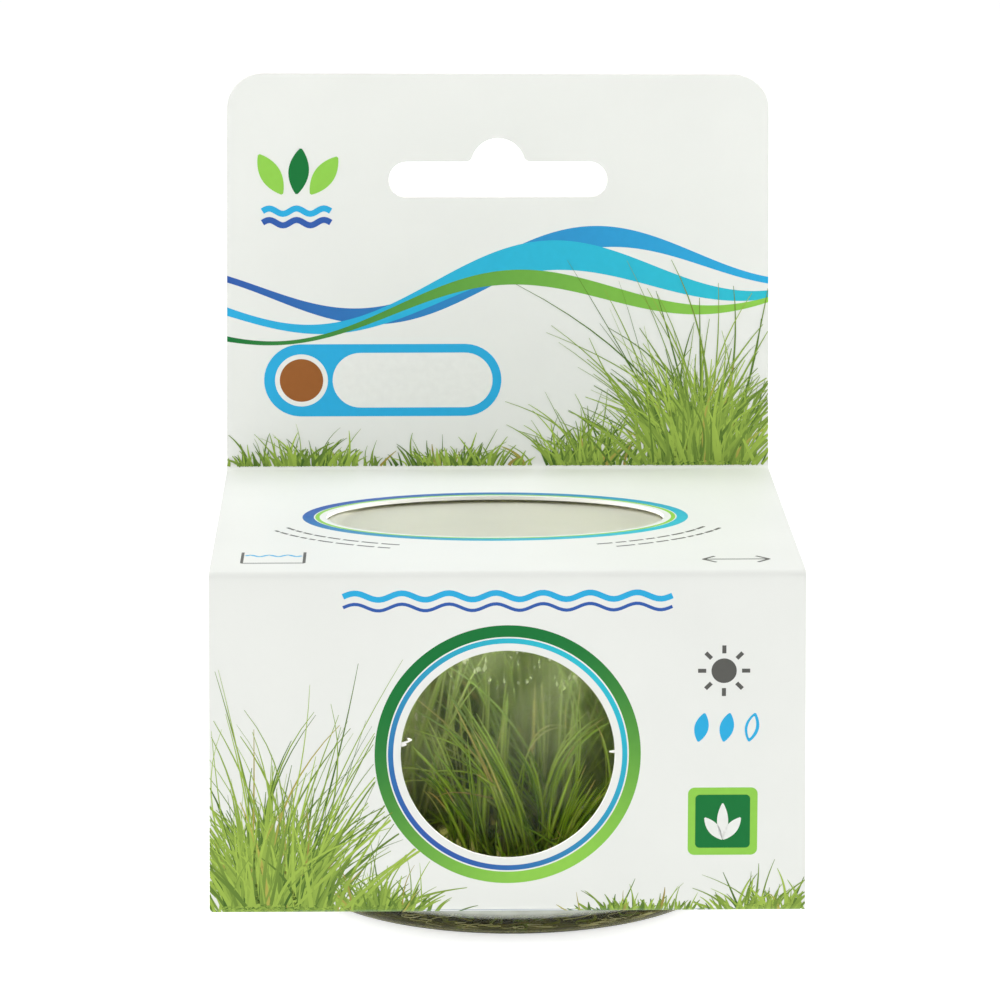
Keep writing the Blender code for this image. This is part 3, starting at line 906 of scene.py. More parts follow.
class HAIRGRASS_OT_printing(bpy.types.Operator):
    """Print the card: waves and a label field on the header, rings, marks and grass on its panels"""

    bl_idname = "hairgrass.printing"
    bl_label = "Printing"

    def execute(self, context):
        scene = context.scene
        inks = scene.hairgrass_print
        material = ink_finish()
        grass_dice = np.random.default_rng(scene.hairgrass_plant.seed)
        dash_dice = np.random.default_rng(DASH_SEED)
        panels = (
            ("header", self.header, grass_dice),
            ("front", self.front, grass_dice),
            ("top", self.top, dash_dice),
        )
        for panel, draw, dice in panels:
            printed = Print(panel, scene.hairgrass_card)
            draw(printed, inks, dice)
            printed.piece(material, inks.film)
        return {"FINISHED"}

    def header(self, printed, inks, dice):
        """Three waves, a plain label field, a leaf mark over two wavy lines, and grass."""
        white = printed.card.coated
        steps = 121
        across = np.linspace(-1.0, 1.0, steps)
        waves = (
            (29.0, 4.6, 0.2, 2.6, inks.royal, inks.sky),
            (27.2, 4.2, 0.9, 2.9, inks.sky, inks.cyan),
            (25.0, 3.6, 1.5, 1.5, inks.pine, inks.lime),
        )
        for height, swing, phase, breadth, start, end in waves:
            level = CARD_TOP + MM * (height + swing * np.sin(1.25 * np.pi * across + phase) + 3.0 * across)
            half = MM * breadth * (0.25 + 0.75 * np.cos(0.5 * np.pi * (across - 0.15 * phase)) ** 2) / 1.3
            reach = half_width(np.full(steps, HEADER_FRONT), level) - 0.04 * MM
            printed.band(across * reach, level, half, tones(start, end, shares(steps)[:, None]), 3)
            printed.layer += 1
        label = (-17.0 * MM, CARD_TOP + 13.4 * MM)
        printed.field(label, (17.5 * MM, 5.4 * MM), 5.4 * MM, inks.sky)
        printed.layer += 1
        printed.field((-12.6 * MM, label[1]), (11.8 * MM, 4.1 * MM), 4.1 * MM, white)
        printed.disc((-29.0 * MM, label[1]), 3.9 * MM, white)
        printed.layer += 1
        printed.disc((-29.0 * MM, label[1]), 3.2 * MM, inks.brown)
        for x, lean, tone in ((-31.5, -30.0, inks.lime), (-29.5, 6.0, inks.pine), (-27.5, 36.0, inks.lime)):
            printed.leaf((x * MM, CARD_TOP + 41.0 * MM), 7.0 * MM, 3.0 * MM, lean, tone)
        for height, tone in ((38.6, inks.sky), (36.9, inks.royal)):
            s = shares(31)
            ripple = CARD_TOP + MM * (height + 0.4 * np.sin(2.5 * FULL_TURN * s))
            printed.stroke(np.stack([mix(-34.5 * MM, -24.5 * MM, s), ripple], -1), 0.9 * MM, tone)
        clumps = (
            (30.0 * MM, 9.0 * MM, 38.0 * MM, 380),
            (13.0 * MM, 8.0 * MM, 14.0 * MM, 170),
            (-6.0 * MM, 10.0 * MM, 7.0 * MM, 120),
            (-28.0 * MM, 12.0 * MM, 7.5 * MM, 150),
        )
        grass_print(printed, inks, dice, clumps, CARD_TOP + 0.5 * MM)

    def front(self, printed, inks, dice):
        """Rings round the window, wavy lines, signs of light, growth and plant, grass, and a line of painted
        shade along the foot fold.
        """
        white = printed.card.coated
        middle = (0.0, WINDOW_MIDDLE)
        turn = full_circle(RING_STEPS)[:, None]
        sea = tones(inks.royal, inks.cyan, 0.5 + 0.5 * np.cos(turn - 0.9))
        meadow = tones(inks.pine, inks.lime, (0.5 + 0.5 * np.cos(turn + 1.2)) ** 2.2)
        printed.ring(middle, 15.4 * MM, 16.1 * MM, sea)
        printed.ring(middle, 16.3 * MM, RING_RADIUS, meadow)
        s = shares(91)
        for height, width, tone in ((43.9, 0.8, inks.sky), (42.4, 0.45, inks.royal)):
            x = mix(-22.0 * MM, 22.0 * MM, s)
            z = CARD_BOTTOM + MM * (height + 0.45 * np.sin(7.0 * FULL_TURN * s))
            printed.stroke(np.stack([x, z], -1), width * MM, tone)
        column = 29.0 * MM
        sun = (column, CARD_BOTTOM + 33.5 * MM)
        printed.disc(sun, 1.7 * MM, inks.grey)
        for angle in full_circle(8):
            ray = np.array(sun) + np.outer(np.linspace(2.4, 3.5, 3) * MM, direction(angle))
            printed.stroke(ray, 0.55 * MM, inks.grey)
        marks = [(column + step * 3.4 * MM, CARD_BOTTOM + 23.6 * MM) for step in (-1, 0, 1)]
        for mark in marks:
            printed.leaf(mark, 4.2 * MM, 1.9 * MM, 12.0, inks.sky)
        square = (column, CARD_BOTTOM + 12.6 * MM)
        printed.field(square, (4.7 * MM, 4.7 * MM), 0.9 * MM, inks.lime)
        printed.layer += 1
        printed.leaf((marks[2][0] + 0.06 * MM, marks[2][1] + 0.5 * MM), 3.2 * MM, 1.1 * MM, 12.0, white)
        printed.field(square, (3.7 * MM, 3.7 * MM), 0.6 * MM, inks.pine)
        printed.layer += 1
        for lean, long in ((0.0, 5.2), (-38.0, 4.0), (38.0, 4.0)):
            root = (square[0], square[1] - 2.6 * MM)
            printed.leaf(root, long * MM, 1.5 * MM, lean, white)
        clumps = (
            (-32.0 * MM, 9.0 * MM, 41.0 * MM, 420),
            (-18.0 * MM, 7.0 * MM, 12.0 * MM, 150),
            (18.0 * MM, 9.0 * MM, 5.5 * MM, 100),
            (35.0 * MM, 7.0 * MM, 9.0 * MM, 130),
        )
        grass_print(printed, inks, dice, clumps, CARD_BOTTOM - 0.3 * MM)
        # A blue-grey line along the foot fold is painted shade where the card turns under.
        fold_shade = np.stack([np.linspace(-29.0, 38.0, 41), np.zeros(41)], -1) * MM
        printed.stroke(fold_shade + np.array((0.0, CARD_BOTTOM)), 0.64 * MM, srgb(96, 120, 160))

    def top(self, printed, inks, dice):
        """Rings and broken lines round the oval, and signs of the tank and of a length."""
        ratio = OVAL_HALF[1] / OVAL_HALF[0]
        turn = full_circle(RING_STEPS)[:, None]
        sea = tones(inks.royal, inks.cyan, 0.5 + 0.5 * np.cos(turn + 0.6))
        printed.ring(OVAL_MIDDLE, OVAL_HALF[0] + 1.0 * MM, OVAL_HALF[0] + 1.6 * MM, inks.lime, ratio)
        printed.ring(OVAL_MIDDLE, OVAL_HALF[0] + 1.8 * MM, OVAL_HALF[0] + 3.4 * MM, sea, ratio)
        for row, first in ((7.2, 200), (9.6, 203), (7.2, 296), (9.6, 299)):
            angle = first
            while angle < first + 40:
                long = dice.uniform(2.2, 5.5)
                turns = np.radians(np.linspace(angle, angle + long, 5))
                dash = np.array(OVAL_MIDDLE) + direction(turns) * (np.array(OVAL_HALF) + row * MM)
                printed.stroke(dash, 0.5 * MM, inks.grey)
                angle += long + 1.0
        tank = np.array((-31.5, -26.0)) * MM
        frame_line = np.array(((-4.2, 3.4), (-4.2, -3.4), (4.2, -3.4), (4.2, 3.4))) * MM + tank
        for start, end in zip(frame_line, frame_line[1:]):
            printed.stroke(np.linspace(start, end, 5), 0.4 * MM, inks.grey)
        s = shares(25)
        water = np.stack([mix(-3.8, 3.8, s), 1.2 + 0.5 * np.sin(3 * FULL_TURN * s)], -1) * MM + tank
        printed.stroke(water, 0.5 * MM, inks.sky)
        low, high = np.array((26.5, -28.0)) * MM, np.array((35.5, -28.0)) * MM
        printed.stroke(np.linspace(low, high, 7), 0.45 * MM, inks.grey)
        for tip, sense in ((low, 1.0), (high, -1.0)):
            for side in (-1.0, 1.0):
                barb = tip + np.array((sense * 1.7, side * 1.9)) * MM
                printed.stroke(np.linspace(tip, barb, 3), 0.45 * MM, inks.grey)


def turned(name, profile, materials, segments=160, relief=None):
    """A turned piece: a profile of (radius, height) carried round the cup's upright axis.

    The profile starts and ends on the axis, where fans close it, and runs out along the upper or
    inner side first. relief(angle, radius, height) may move the height.
    """
    radius, height = np.asarray(profile, float).T
    angle = full_circle(segments)
    ring_radius = radius[1:-1, None] * np.ones(segments)
    ring_height = height[1:-1, None] * np.ones(segments)
    if relief is not None:
        ring_height = ring_height + relief(angle, ring_radius, ring_height)
    rings = about_cup(ring_radius, angle, ring_height)
    poles = np.array([(CUP_X, 0.0, height[0]), (CUP_X, 0.0, height[-1])])
    points = np.concatenate([rings.reshape(-1, 3), poles])
    index = numbered(len(rings), segments)
    around = np.roll(index, -1, axis=1)
    first = np.stack([np.full(segments, index.size), index[0], around[0]], -1)
    last = np.stack([np.full(segments, index.size + 1), around[-1], index[-1]], -1)
    return mesh_piece(name, points, [quads(index, closed=True), np.concatenate([first, last])], materials)


def rounded(points, radius):
    """A profile whose inner corners are rounded by quadratic curves between their neighbours."""
    points = np.asarray(points, float)
    before = unit(points[:-2] - points[1:-1])
    after = unit(points[2:] - points[1:-1])
    near = np.linalg.norm(points[:-2] - points[1:-1], axis=-1)
    far = np.linalg.norm(points[2:] - points[1:-1], axis=-1)
    reach = np.minimum(radius, np.minimum(near, far) * 0.48)[:, None]
    s = shares(CORNER_CURVE_STEPS)[None, :, None]
    start = (points[1:-1] + before * reach)[:, None]
    end = (points[1:-1] + after * reach)[:, None]
    curve = quadratic(start, points[1:-1][:, None], end, s)
    return np.concatenate([points[:1], curve.reshape(-1, 2), points[-1:]])


def densify(profile, spacing):
    """Add points along a profile's long straights so that no step is longer than the spacing."""
    step = np.linalg.norm(np.diff(profile, axis=0), axis=-1)
    parts = np.maximum(1, np.ceil(step / spacing).astype(int))
    pieces = [np.linspace(a, b, n, endpoint=False) for a, b, n in zip(profile, profile[1:], parts)]
    return np.concatenate(pieces + [profile[-1:]])


def cup_radius(z):
    """The cup's outer radius at a height: it widens evenly from foot to rim."""
    return mix(CUP_FOOT_RADIUS, CUP_TOP_RADIUS, z / CUP_TOP)


class HAIRGRASS_OT_cup(bpy.types.Operator):
    """Make the clear cup: a thin tapered wall with a moulded foot ring and a rolled rim"""

    bl_idname = "hairgrass.cup"
    bl_label = "Cup"

    def execute(self, context):
        cup = context.scene.hairgrass_cup
        inner = CUP_TOP_RADIUS - CUP_WALL
        foot = CUP_FOOT_RADIUS
        profile = [
            (0.0, CUP_WALL),
            (foot - 2.0 * MM, CUP_WALL),
            (foot - CUP_WALL, 2.2 * MM),
            (inner, CUP_TOP),
            (RIM_RADIUS, CUP_TOP),
            (RIM_RADIUS, CUP_TOP - 1.6 * MM),
            (cup_radius(CUP_TOP - 1.7 * MM), CUP_TOP - 1.7 * MM),
            (foot, 1.6 * MM),
            (foot - 1.7 * MM, 0.0),
            (foot - 3.2 * MM, 0.0),
            (foot - 4.0 * MM, 0.3 * MM),
            (0.0, 0.3 * MM),
        ]
        profile = densify(rounded(profile, 1.1 * MM), 2.0 * MM)
        finish = Finish("clear_plastic", cup.plastic, 0.03, Transmission_Weight=1.0, IOR=1.16)
        flow = finish.noise(38.0, 2.0)
        finish.bump(flow, 0.12 * MM, 0.35)
        height = finish.axis("Z")
        damp = finish.spread(height, 0.08, cup.damp, 9.0 * MM, 17.0 * MM)
        patches = finish.spread(finish.noise(90.0), 0.6, 1.1)
        # Painted shade: the plastic's tint turns olive and darker towards the bottom of the foot.
        low = finish.spread(height, 0.85, 0.0, 0.5 * MM, 2.4 * MM)
        finish.set("Base Color", finish.blend(cup.plastic, srgb(230, 228, 144), low))
        finish.set("Roughness", finish.times(damp, patches))
        made = turned("cup_clear", profile, (finish.material,), FINE_SEGMENTS)
        settle(made, "clear_plastic", "cup")
        return {"FINISHED"}


class HAIRGRASS_OT_lid(bpy.types.Operator):
    """Make the milky snap lid: a sunk centre in a raised ring, a groove, and a skirt with a line round it"""

    bl_idname = "hairgrass.lid"
    bl_label = "Lid"

    def execute(self, context):
        cup = context.scene.hairgrass_cup
        low = LID_TOP - 0.7 * MM
        skirt = LID_LOW.z
        inside = RIM_RADIUS + 0.3 * MM
        profile = [
            (0.0, LID_TOP - 0.25 * MM),
            (24.0 * MM, LID_TOP - 0.25 * MM),
            (24.8 * MM, LID_TOP),
            (27.6 * MM, LID_TOP),
            (28.4 * MM, LID_TOP - 0.35 * MM),
            (30.6 * MM, LID_TOP - 0.35 * MM),
            (31.4 * MM, LID_TOP),
            (LID_RADIUS, LID_TOP),
            (LID_RADIUS, skirt + 1.2 * MM),
            (LID_RADIUS - 0.15 * MM, skirt + 1.0 * MM),
            (LID_RADIUS, skirt),
            (inside, skirt),
            (inside, low),
            (0.0, low),
        ]
        profile = densify(rounded(profile, 0.7 * MM), 1.5 * MM)
        finish = Finish("milky_plastic", cup.milk, 0.45, Transmission_Weight=0.53, IOR=1.45)
        finish.cloud(cup.milk, 0.93, 70.0)
        finish.bump(finish.noise(1500.0), 0.01 * MM)
        made = turned("lid_milky", profile, (finish.material,), FINE_SEGMENTS)
        settle(made, "milky_plastic", "lid")
        return {"FINISHED"}


class HAIRGRASS_OT_gel(bpy.types.Operator):
    """Make the gel: a wet disc with a soft uneven top that climbs the wall at its edge"""

    bl_idname = "hairgrass.gel"
    bl_label = "Growing gel"

    def execute(self, context):
        cup = context.scene.hairgrass_cup
        bite = 0.05 * MM
        low = CUP_WALL - bite
        edge = cup_radius(GEL_TOP) - CUP_WALL + bite
        foot = CUP_FOOT_RADIUS
        run = np.linspace(0.0, edge, 48)
        rise = GEL_TOP + GEL_CLIMB * np.exp(-(edge - run) / (0.9 * MM))
        side = np.array([(foot - CUP_WALL + bite, 2.2 * MM), (foot - 2.0 * MM + bite, low), (0.0, low)])
        upper = np.stack([run, rise], -1)
        lower = rounded(np.concatenate([upper[-1:], side]), 1.1 * MM)[1:]
        profile = densify(np.concatenate([upper, lower]), 2.0 * MM)

        def lumps(angle, radius, height):
            part = np.clip((height - GEL_TOP + 0.4 * MM) / (0.4 * MM), 0.0, 1.0)
            x, y = radius * np.cos(angle), radius * np.sin(angle)
            wave = np.sin(410 * x + 1.3) * np.sin(370 * y) + 0.6 * np.sin(760 * x - 500 * y)
            return 0.25 * MM * wave * part * (1.0 - (radius / edge) ** 6)

        finish = Finish("growing_gel", cup.gel, 0.06, Transmission_Weight=1.0, IOR=1.34)
        finish.bump(finish.noise(210.0), 0.15 * MM, 0.5)
        finish.cloud(cup.gel, 1.35, 160.0)
        depth = {"Color": srgb(184, 184, 94), "Density": 58.0}
        finish.end(finish.node("ShaderNodeVolumeAbsorption", "Volume", depth), "Volume")
        made = turned("growing_gel_wet", profile, (finish.material,), relief=lumps)
        settle(made, "gel", "growing_gel")
        return {"FINISHED"}


def tubes(lines, half_wide, half_flat, facing, sides):
    """Points and faces of many tubes: an ellipse carried along each line of an array of lines.

    half_wide and half_flat are the ellipse's half axes at each point. facing is a direction for
    each line, and the wide axis follows it, less its part along the line.
    """
    way = unit(np.gradient(lines, axis=1))
    facing = facing[:, None]
    wide = unit(facing - (facing * way).sum(-1, keepdims=True) * way)
    flat = np.cross(wide, way)
    angle = full_circle(sides)
    out = (
        half_wide[:, :, None, None] * wide[:, :, None] * np.cos(angle)[:, None]
        + half_flat[:, :, None, None] * flat[:, :, None] * np.sin(angle)[:, None]
    )
    points = (lines[:, :, None] + out).reshape(-1, 3)
    number, steps = lines.shape[:2]
    index = numbered(number, steps, sides)
    caps = np.concatenate([index[:, 0], index[:, -1, ::-1]])
    return points, [quads(index, closed=True), caps]


def hold_in_cup(points, foot):
    """Keep points inside the cup: their distance from the axis and their height end in soft limits."""
    away = points[..., :2] - np.array((CUP_X, 0.0))
    reach = np.linalg.norm(away, axis=-1)
    soft, bow = 3.0 * MM, 5.0 * MM
    free = cup_radius(points[..., 2]) - CUP_WALL - 0.7 * MM - soft
    held = np.minimum(reach, free) + soft * np.tanh(np.clip(reach - free, 0.0, None) / soft)
    away = away * (held / np.maximum(reach, 1e-9))[..., None]
    ceiling = LID_TOP - 1.6 * MM - bow
    above = np.clip(points[..., 2] - ceiling, 0.0, None)
    z = np.maximum(np.minimum(points[..., 2], ceiling) + bow * np.tanh(above / bow), foot)
    return np.concatenate([away + np.array((CUP_X, 0.0)), z[..., None]], -1)


def seen_through_window(x, up, depth):
    """The point, a depth behind the card, that the camera sees at (x, up) from the window's middle."""
    x, up, depth = np.broadcast_arrays(x, up, depth)
    target = np.stack([x, np.full(x.shape, -HALF_DEPTH), WINDOW_MIDDLE + up], -1)
    ray = target - CAMERA_PLACE
    return CAMERA_PLACE + ray * (1.0 + depth[..., None] / ray[..., 1:2])


def window_sheaf(sheaf, dice, steps):
    """Centre lines of one sheaf by the window: quadratic curves from root by bend to tip."""
    (root_x, root_depth), (bend_x, bend_up), (tip_x, tip_up, tip_depth), number, spread, breadth, tone = sheaf
    own = dice.normal(0.0, 1.0, (6, number)) * MM
    root = seen_through_window(root_x * MM + 0.9 * own[0], np.zeros(number), root_depth * MM + 0.8 * own[1])
    root[:, 2] = BLADE_FOOT
    fan = spread * own[2:4]
    middle_depth = (root_depth + tip_depth) / 2 * MM + 0.5 * own[4]
    bend = seen_through_window(bend_x * MM + 0.6 * fan[0], bend_up * MM + 0.5 * own[5], middle_depth)
    tip = seen_through_window(tip_x * MM + fan[0], tip_up * MM + fan[1], tip_depth * MM + 0.5 * own[4])
    s = shares(steps) * dice.uniform(0.8, 1.04, number)[:, None]
    lines = quadratic(root[:, None], bend[:, None], tip[:, None], s[..., None])
    dry = tone > 0.9
    tint = np.clip(tone + dice.normal(0.0, 0.02 if dry else 0.2, number), 0.0, 1.0 if dry else 0.88)
    return lines, tint, breadth * dice.uniform(0.5, 1.0, number)


def free_sheaves(seat, number, plant, dice, steps):
    """Centre lines of a tuft's other sheaves: running sums of a direction that leans ever more.

    A sheaf's blades share a heading, a lean and a droop, with a little of their own.
    """
    shape = (number, plant.blades)
    blades = number * plant.blades

    def shared(low, high, own):
        common = dice.uniform(low, high, number)[:, None]
        return (common + dice.normal(0.0, own, shape)).reshape(blades)

    from_axis = np.array((seat[0] - CUP_X, seat[1]))
    heading = shared(0.0, FULL_TURN, 0.15)
    if np.linalg.norm(from_axis) > 5 * MM:
        heading = np.arctan2(from_axis[1], from_axis[0]) + (heading - np.pi) * 0.8
    lean = np.abs(shared(0.02, 0.75, 0.09))
    droop = shared(-0.1, 0.9, 0.2)
    twist = shared(-0.8, 0.8, 0.25)
    length = mix(16 * MM, 44 * MM, dice.random(blades) ** 0.9)
    start_angle = shared(0.0, FULL_TURN, 0.5)
    start_off = 6.0 * MM * np.sqrt(np.abs(shared(0.0, 1.0, 0.12)))
    s = shares(steps)
    tilt = lean[:, None] + droop[:, None] * s**1.9
    course = heading[:, None] + twist[:, None] * s
    way = np.stack([np.sin(tilt) * np.cos(course), np.sin(tilt) * np.sin(course), np.cos(tilt)], -1)
    run = np.cumsum(way, axis=1) * (length / (steps - 1))[:, None, None]
    base = np.stack([
        seat[0] + start_off * np.cos(start_angle),
        seat[1] + start_off * np.sin(start_angle),
        np.full(blades, BLADE_FOOT),
    ], -1)
    tint = np.clip(shared(0.15, 0.8, 0.16), 0.0, 0.88)
    tint = np.where(dice.random(blades) < 0.07, 0.96, tint)
    return base[:, None] + run - run[:, :1], tint, dice.uniform(0.5, 1.0, blades)


def low_blades(seat, number, dice, steps):
    """Centre lines of the short blades round a tuft's foot, which arch over and cover the gel."""
    place = 12.0 * MM * np.sqrt(dice.random(number))
    way = dice.uniform(0.0, FULL_TURN, number)
    heading = dice.uniform(0.0, FULL_TURN, number)[:, None]
    length = dice.uniform(3.0, 9.0, number)[:, None] * MM
    s = shares(steps)
    lean = dice.uniform(0.1, 1.1, number)[:, None]
    out = length * s * (0.3 + lean * s)
    up = length * (s - 0.28 * lean * s**2)
    turn = heading + dice.normal(0.0, 0.7, number)[:, None] * s
    x = (seat[0] + place * np.cos(way))[:, None] + out * np.cos(turn)
    y = (seat[1] + place * np.sin(way))[:, None] + out * np.sin(turn)
    tint = np.where(dice.random(number) < 0.03, 0.95, dice.uniform(0.0, 0.35, number))
    return np.stack([x, y, GEL_TOP - 0.6 * MM + up], -1), tint, dice.uniform(0.5, 1.0, number)


def blade_finish():
    """Grass: greens by blade, some blades tan, some light coming through, and painted shade and painted
    light.
    """
    finish = Finish("grass_blade", (0.1, 0.2, 0.03), 0.48, Specular_IOR_Level=0.14)
    tint = finish.attribute("tint")
    run = finish.attribute("along")
    greens = finish.ramp(
        tint,
        (
            (0.0, srgb(126, 172, 36)),
            (0.4, srgb(198, 234, 70)),
            (0.75, srgb(226, 246, 112)),
            (0.9, srgb(236, 246, 146)),
            (0.95, srgb(246, 214, 112)),
            (1.0, srgb(254, 242, 164)),
        ),
    )
    # Painted shade: each blade is darker and yellower towards its foot, where the blades crowd.
    foot_shade = finish.ramp(
        run,
        (
            (0.0, (0.38, 0.38, 0.26)),
            (0.25, (0.68, 0.7, 0.56)),
            (0.6, (1.0, 1.0, 1.0)),
            (1.0, (1.0, 1.0, 0.95)),
        ),
    )
    toned = finish.blend(greens, foot_shade, 1.0, "MULTIPLY")
    # Painted shade: each blade is darker towards its two edges than along its middle.
    blade_edge = finish.attribute("blade_edge")
    edge_shade = finish.ramp(blade_edge, ((0.0, (1.0, 1.0, 1.0)), (0.35, (0.9, 0.9, 0.9)), (1.0, (0.4, 0.42, 0.38))))
    toned = finish.blend(toned, edge_shade, 1.0, "MULTIPLY")
    mottle = finish.spread(finish.noise(420.0, 3.0), 0.0, 0.25)
    toned = finish.blend(toned, srgb(124, 150, 44), mottle)
    height = finish.axis("Z")
    # Painted shade: blades deep inside the cup and low down are darkened towards a dark olive.
    inner = finish.spread(finish.axis("Y"), 0.0, 0.6, -27.5 * MM, -17.0 * MM)
    low = finish.spread(height, 1.0, 0.0, 18.0 * MM, 42.0 * MM)
    toned = finish.blend(toned, srgb(44, 54, 8), finish.times(inner, low))
    # Painted light: blades are paler towards the lid, as if lit from above.
    high = finish.spread(height, 0.0, 0.8, 22.0 * MM, 44.0 * MM)
    toned = finish.blend(toned, srgb(236, 255, 196), high)
    finish.set("Base Color", toned)
    finish.bump(finish.noise(1900.0, 2.0), 0.02 * MM)
    through = finish.node("ShaderNodeBsdfTranslucent", "BSDF", {"Color": toned})
    halves = {0: 0.5, 1: finish.shader.outputs["BSDF"], 2: through}
    finish.end(finish.node("ShaderNodeMixShader", "Shader", halves), "Surface")
    return finish.material


class HAIRGRASS_OT_blades(bpy.types.Operator):
    """Grow each tuft's blades as tapering flattened tubes in place of its solid"""

    bl_idname = "hairgrass.blades"
    bl_label = "Grass blades"

    def execute(self, context):
        plant = context.scene.hairgrass_plant
        material = blade_finish()
        steps, sides = 13, 4
        s = shares(steps)
        taper = (0.5 + 0.5 * np.minimum(1.0, 3.5 * s)) * np.sqrt(1.0 - 0.97 * s**2.6)
        boxes = [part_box(node) for node in TUFTS]
        seats = np.array([((low.x + high.x) / 2, (low.y + high.y) / 2) for low, high in boxes])
        # Each sheaf by the window belongs to the tuft whose seat is nearest to its root
        owners = []
        for sheaf in SHEAVES:
            root = np.array(sheaf[0]) * MM - np.array((0.0, HALF_DEPTH))
            owners.append(int(np.argmin(np.linalg.norm(seats - root, axis=1))))
        for number, (node, seat) in enumerate(zip(TUFTS, seats)):
            dice = np.random.default_rng(plant.seed * 100 + number)
            own = [sheaf for sheaf, owner in zip(SHEAVES, owners) if owner == number]
            parts = [window_sheaf(sheaf, dice, steps) for sheaf in own]
            free = max(5, plant.sheaves - len(parts))
            parts.append(free_sheaves(seat, free, plant, dice, steps))
            parts.append(low_blades(seat, plant.low_blades, dice, steps))
            lines, tint, breadth = (np.concatenate(kind) for kind in zip(*parts))
            lines = hold_in_cup(lines, BLADE_FOOT)
            blades = len(lines)
            half = plant.width / 2 * breadth[:, None] * taper
            turn = dice.uniform(0.0, np.pi, blades)
            facing = np.stack([np.cos(turn), 0.45 * np.sin(turn), np.zeros(blades)], -1)
            points, faces = tubes(lines, half, 0.45 * half, facing, sides)
            dry = np.where(dice.random(blades) < 0.3, dice.uniform(0.05, 0.3, blades), -1.0)[:, None]
            tint = tint[:, None]
            upper = np.clip(6.0 * s - 2.4, 0.0, 1.0)
            tint = np.where(tint > 0.9, mix(0.4, tint, upper), tint)
            tint = mix(tint, 0.97, np.clip((s - 1.0 + dry) / 0.1, 0.0, 1.0))
            made = mesh_piece(
                f"tuft_blades_{number + 1}",
                points,
                faces,
                (material,),
                attributes={
                    "tint": np.repeat(tint, sides, axis=1).ravel(),
                    "along": np.tile(np.repeat(s, sides), blades),
                    # 1 at each blade's two edges, where painted shade darkens it
                    "blade_edge": np.tile(np.array((1.0, 0.0)), blades * steps * sides // 2),
                },
            )
            settle(made, "grass_blade", node)
        return {"FINISHED"}


def root_finish():
    """Roots: from brown by green to pale, by root, with darker patches."""
    finish = Finish("root", srgb(190, 192, 140), 0.5, Specular_IOR_Level=0.2)
    tone = finish.ramp(
        finish.attribute("tint"),
        (
            (0.0, srgb(106, 98, 34)),
            (0.25, srgb(132, 126, 48)),
            (0.5, srgb(124, 156, 38)),
            (0.8, srgb(206, 200, 142)),
            (1.0, srgb(244, 240, 200)),
        ),
    )
    shade = finish.spread(finish.noise(130.0), 0.0, 0.35)
    finish.set("Base Color", finish.blend(tone, srgb(60, 56, 22), shade))
    finish.bump(finish.noise(2200.0), 0.02 * MM)
    return finish.material


class HAIRGRASS_OT_roots(bpy.types.Operator):
    """Thread the gel with fine wandering roots: dark ones, and pale ones nearest to the wall"""

    bl_idname = "hairgrass.roots"
    bl_label = "Roots"

    def execute(self, context):
        plant = context.scene.hairgrass_plant
        dice = np.random.default_rng(plant.seed + 31)
        number, steps, sides = plant.roots, 24, 4
        s = shares(steps)
        # One root in eight is pale, thinner than the dark ones, and lies right at the wall
        pale = (np.arange(number) % 8 == 0)[:, None]
        slot = np.arange(number) + dice.uniform(-3.0, 3.0, number)
        angle = (FULL_TURN / number * slot)[:, None]
        sweep = np.where(pale, 0.07, 0.14) * dice.normal(0.0, 1.0, number)[:, None] * s
        reach = np.where(pale, 0.4, 12.0) * dice.random(number)[:, None] ** 1.7
        inset = (np.where(pale, 0.0, 0.9) + reach) * MM
        phase = dice.uniform(0.0, FULL_TURN, (4, number))[..., None]
        pitch = dice.uniform(0.8, 2.2, (3, number))[..., None]
        swing = dice.uniform(0.3, 1.0, (3, number))[..., None] * MM
        radius = OUTER_ROOTS - inset + 0.4 * swing[0] * np.sin(FULL_TURN * pitch[0] * s + phase[0])
        angle = angle + sweep + np.where(pale, 0.05, 0.03) * np.sin(FULL_TURN * pitch[1] * s + phase[1])
        depth = np.where(pale, 1.2, 3.2) * MM + dice.normal(0.0, 1.6, number)[:, None] * MM
        drop = np.where(pale, 4.5, 1.8) * dice.normal(0.0, 1.0, number)[:, None] * MM * s
        z = depth + drop + swing[2] * np.sin(FULL_TURN * pitch[2] * s + phase[2])
        # Heights are pressed softly between the gel's foot and its top
        z = 0.9 * MM + (GEL_TOP - 1.6 * MM) * (0.5 + 0.5 * np.tanh((z - 4.6 * MM) / (4.2 * MM)))
        radius = np.minimum(radius, cup_radius(z) - CUP_WALL - 0.3 * MM)
        lines = about_cup(radius, angle, z)
        breadth = np.where(pale[:, 0], dice.uniform(0.03, 0.06, number), dice.uniform(0.1, 0.22, number))
        half = breadth[:, None] * MM * (1.0 - 0.6 * s**2)
        facing = np.tile(np.array((0.0, 0.0, 1.0)), (number, 1))
        points, faces = tubes(lines, half, half, facing, sides)
        tint = np.where(pale[:, 0], dice.uniform(0.8, 1.0, number), dice.uniform(0.0, 0.55, number))
        tints = {"tint": np.repeat(tint, steps * sides)}
        made = mesh_piece("roots", points, faces, (root_finish(),), attributes=tints)
        settle(made, "grass_blade")
        return {"FINISHED"}


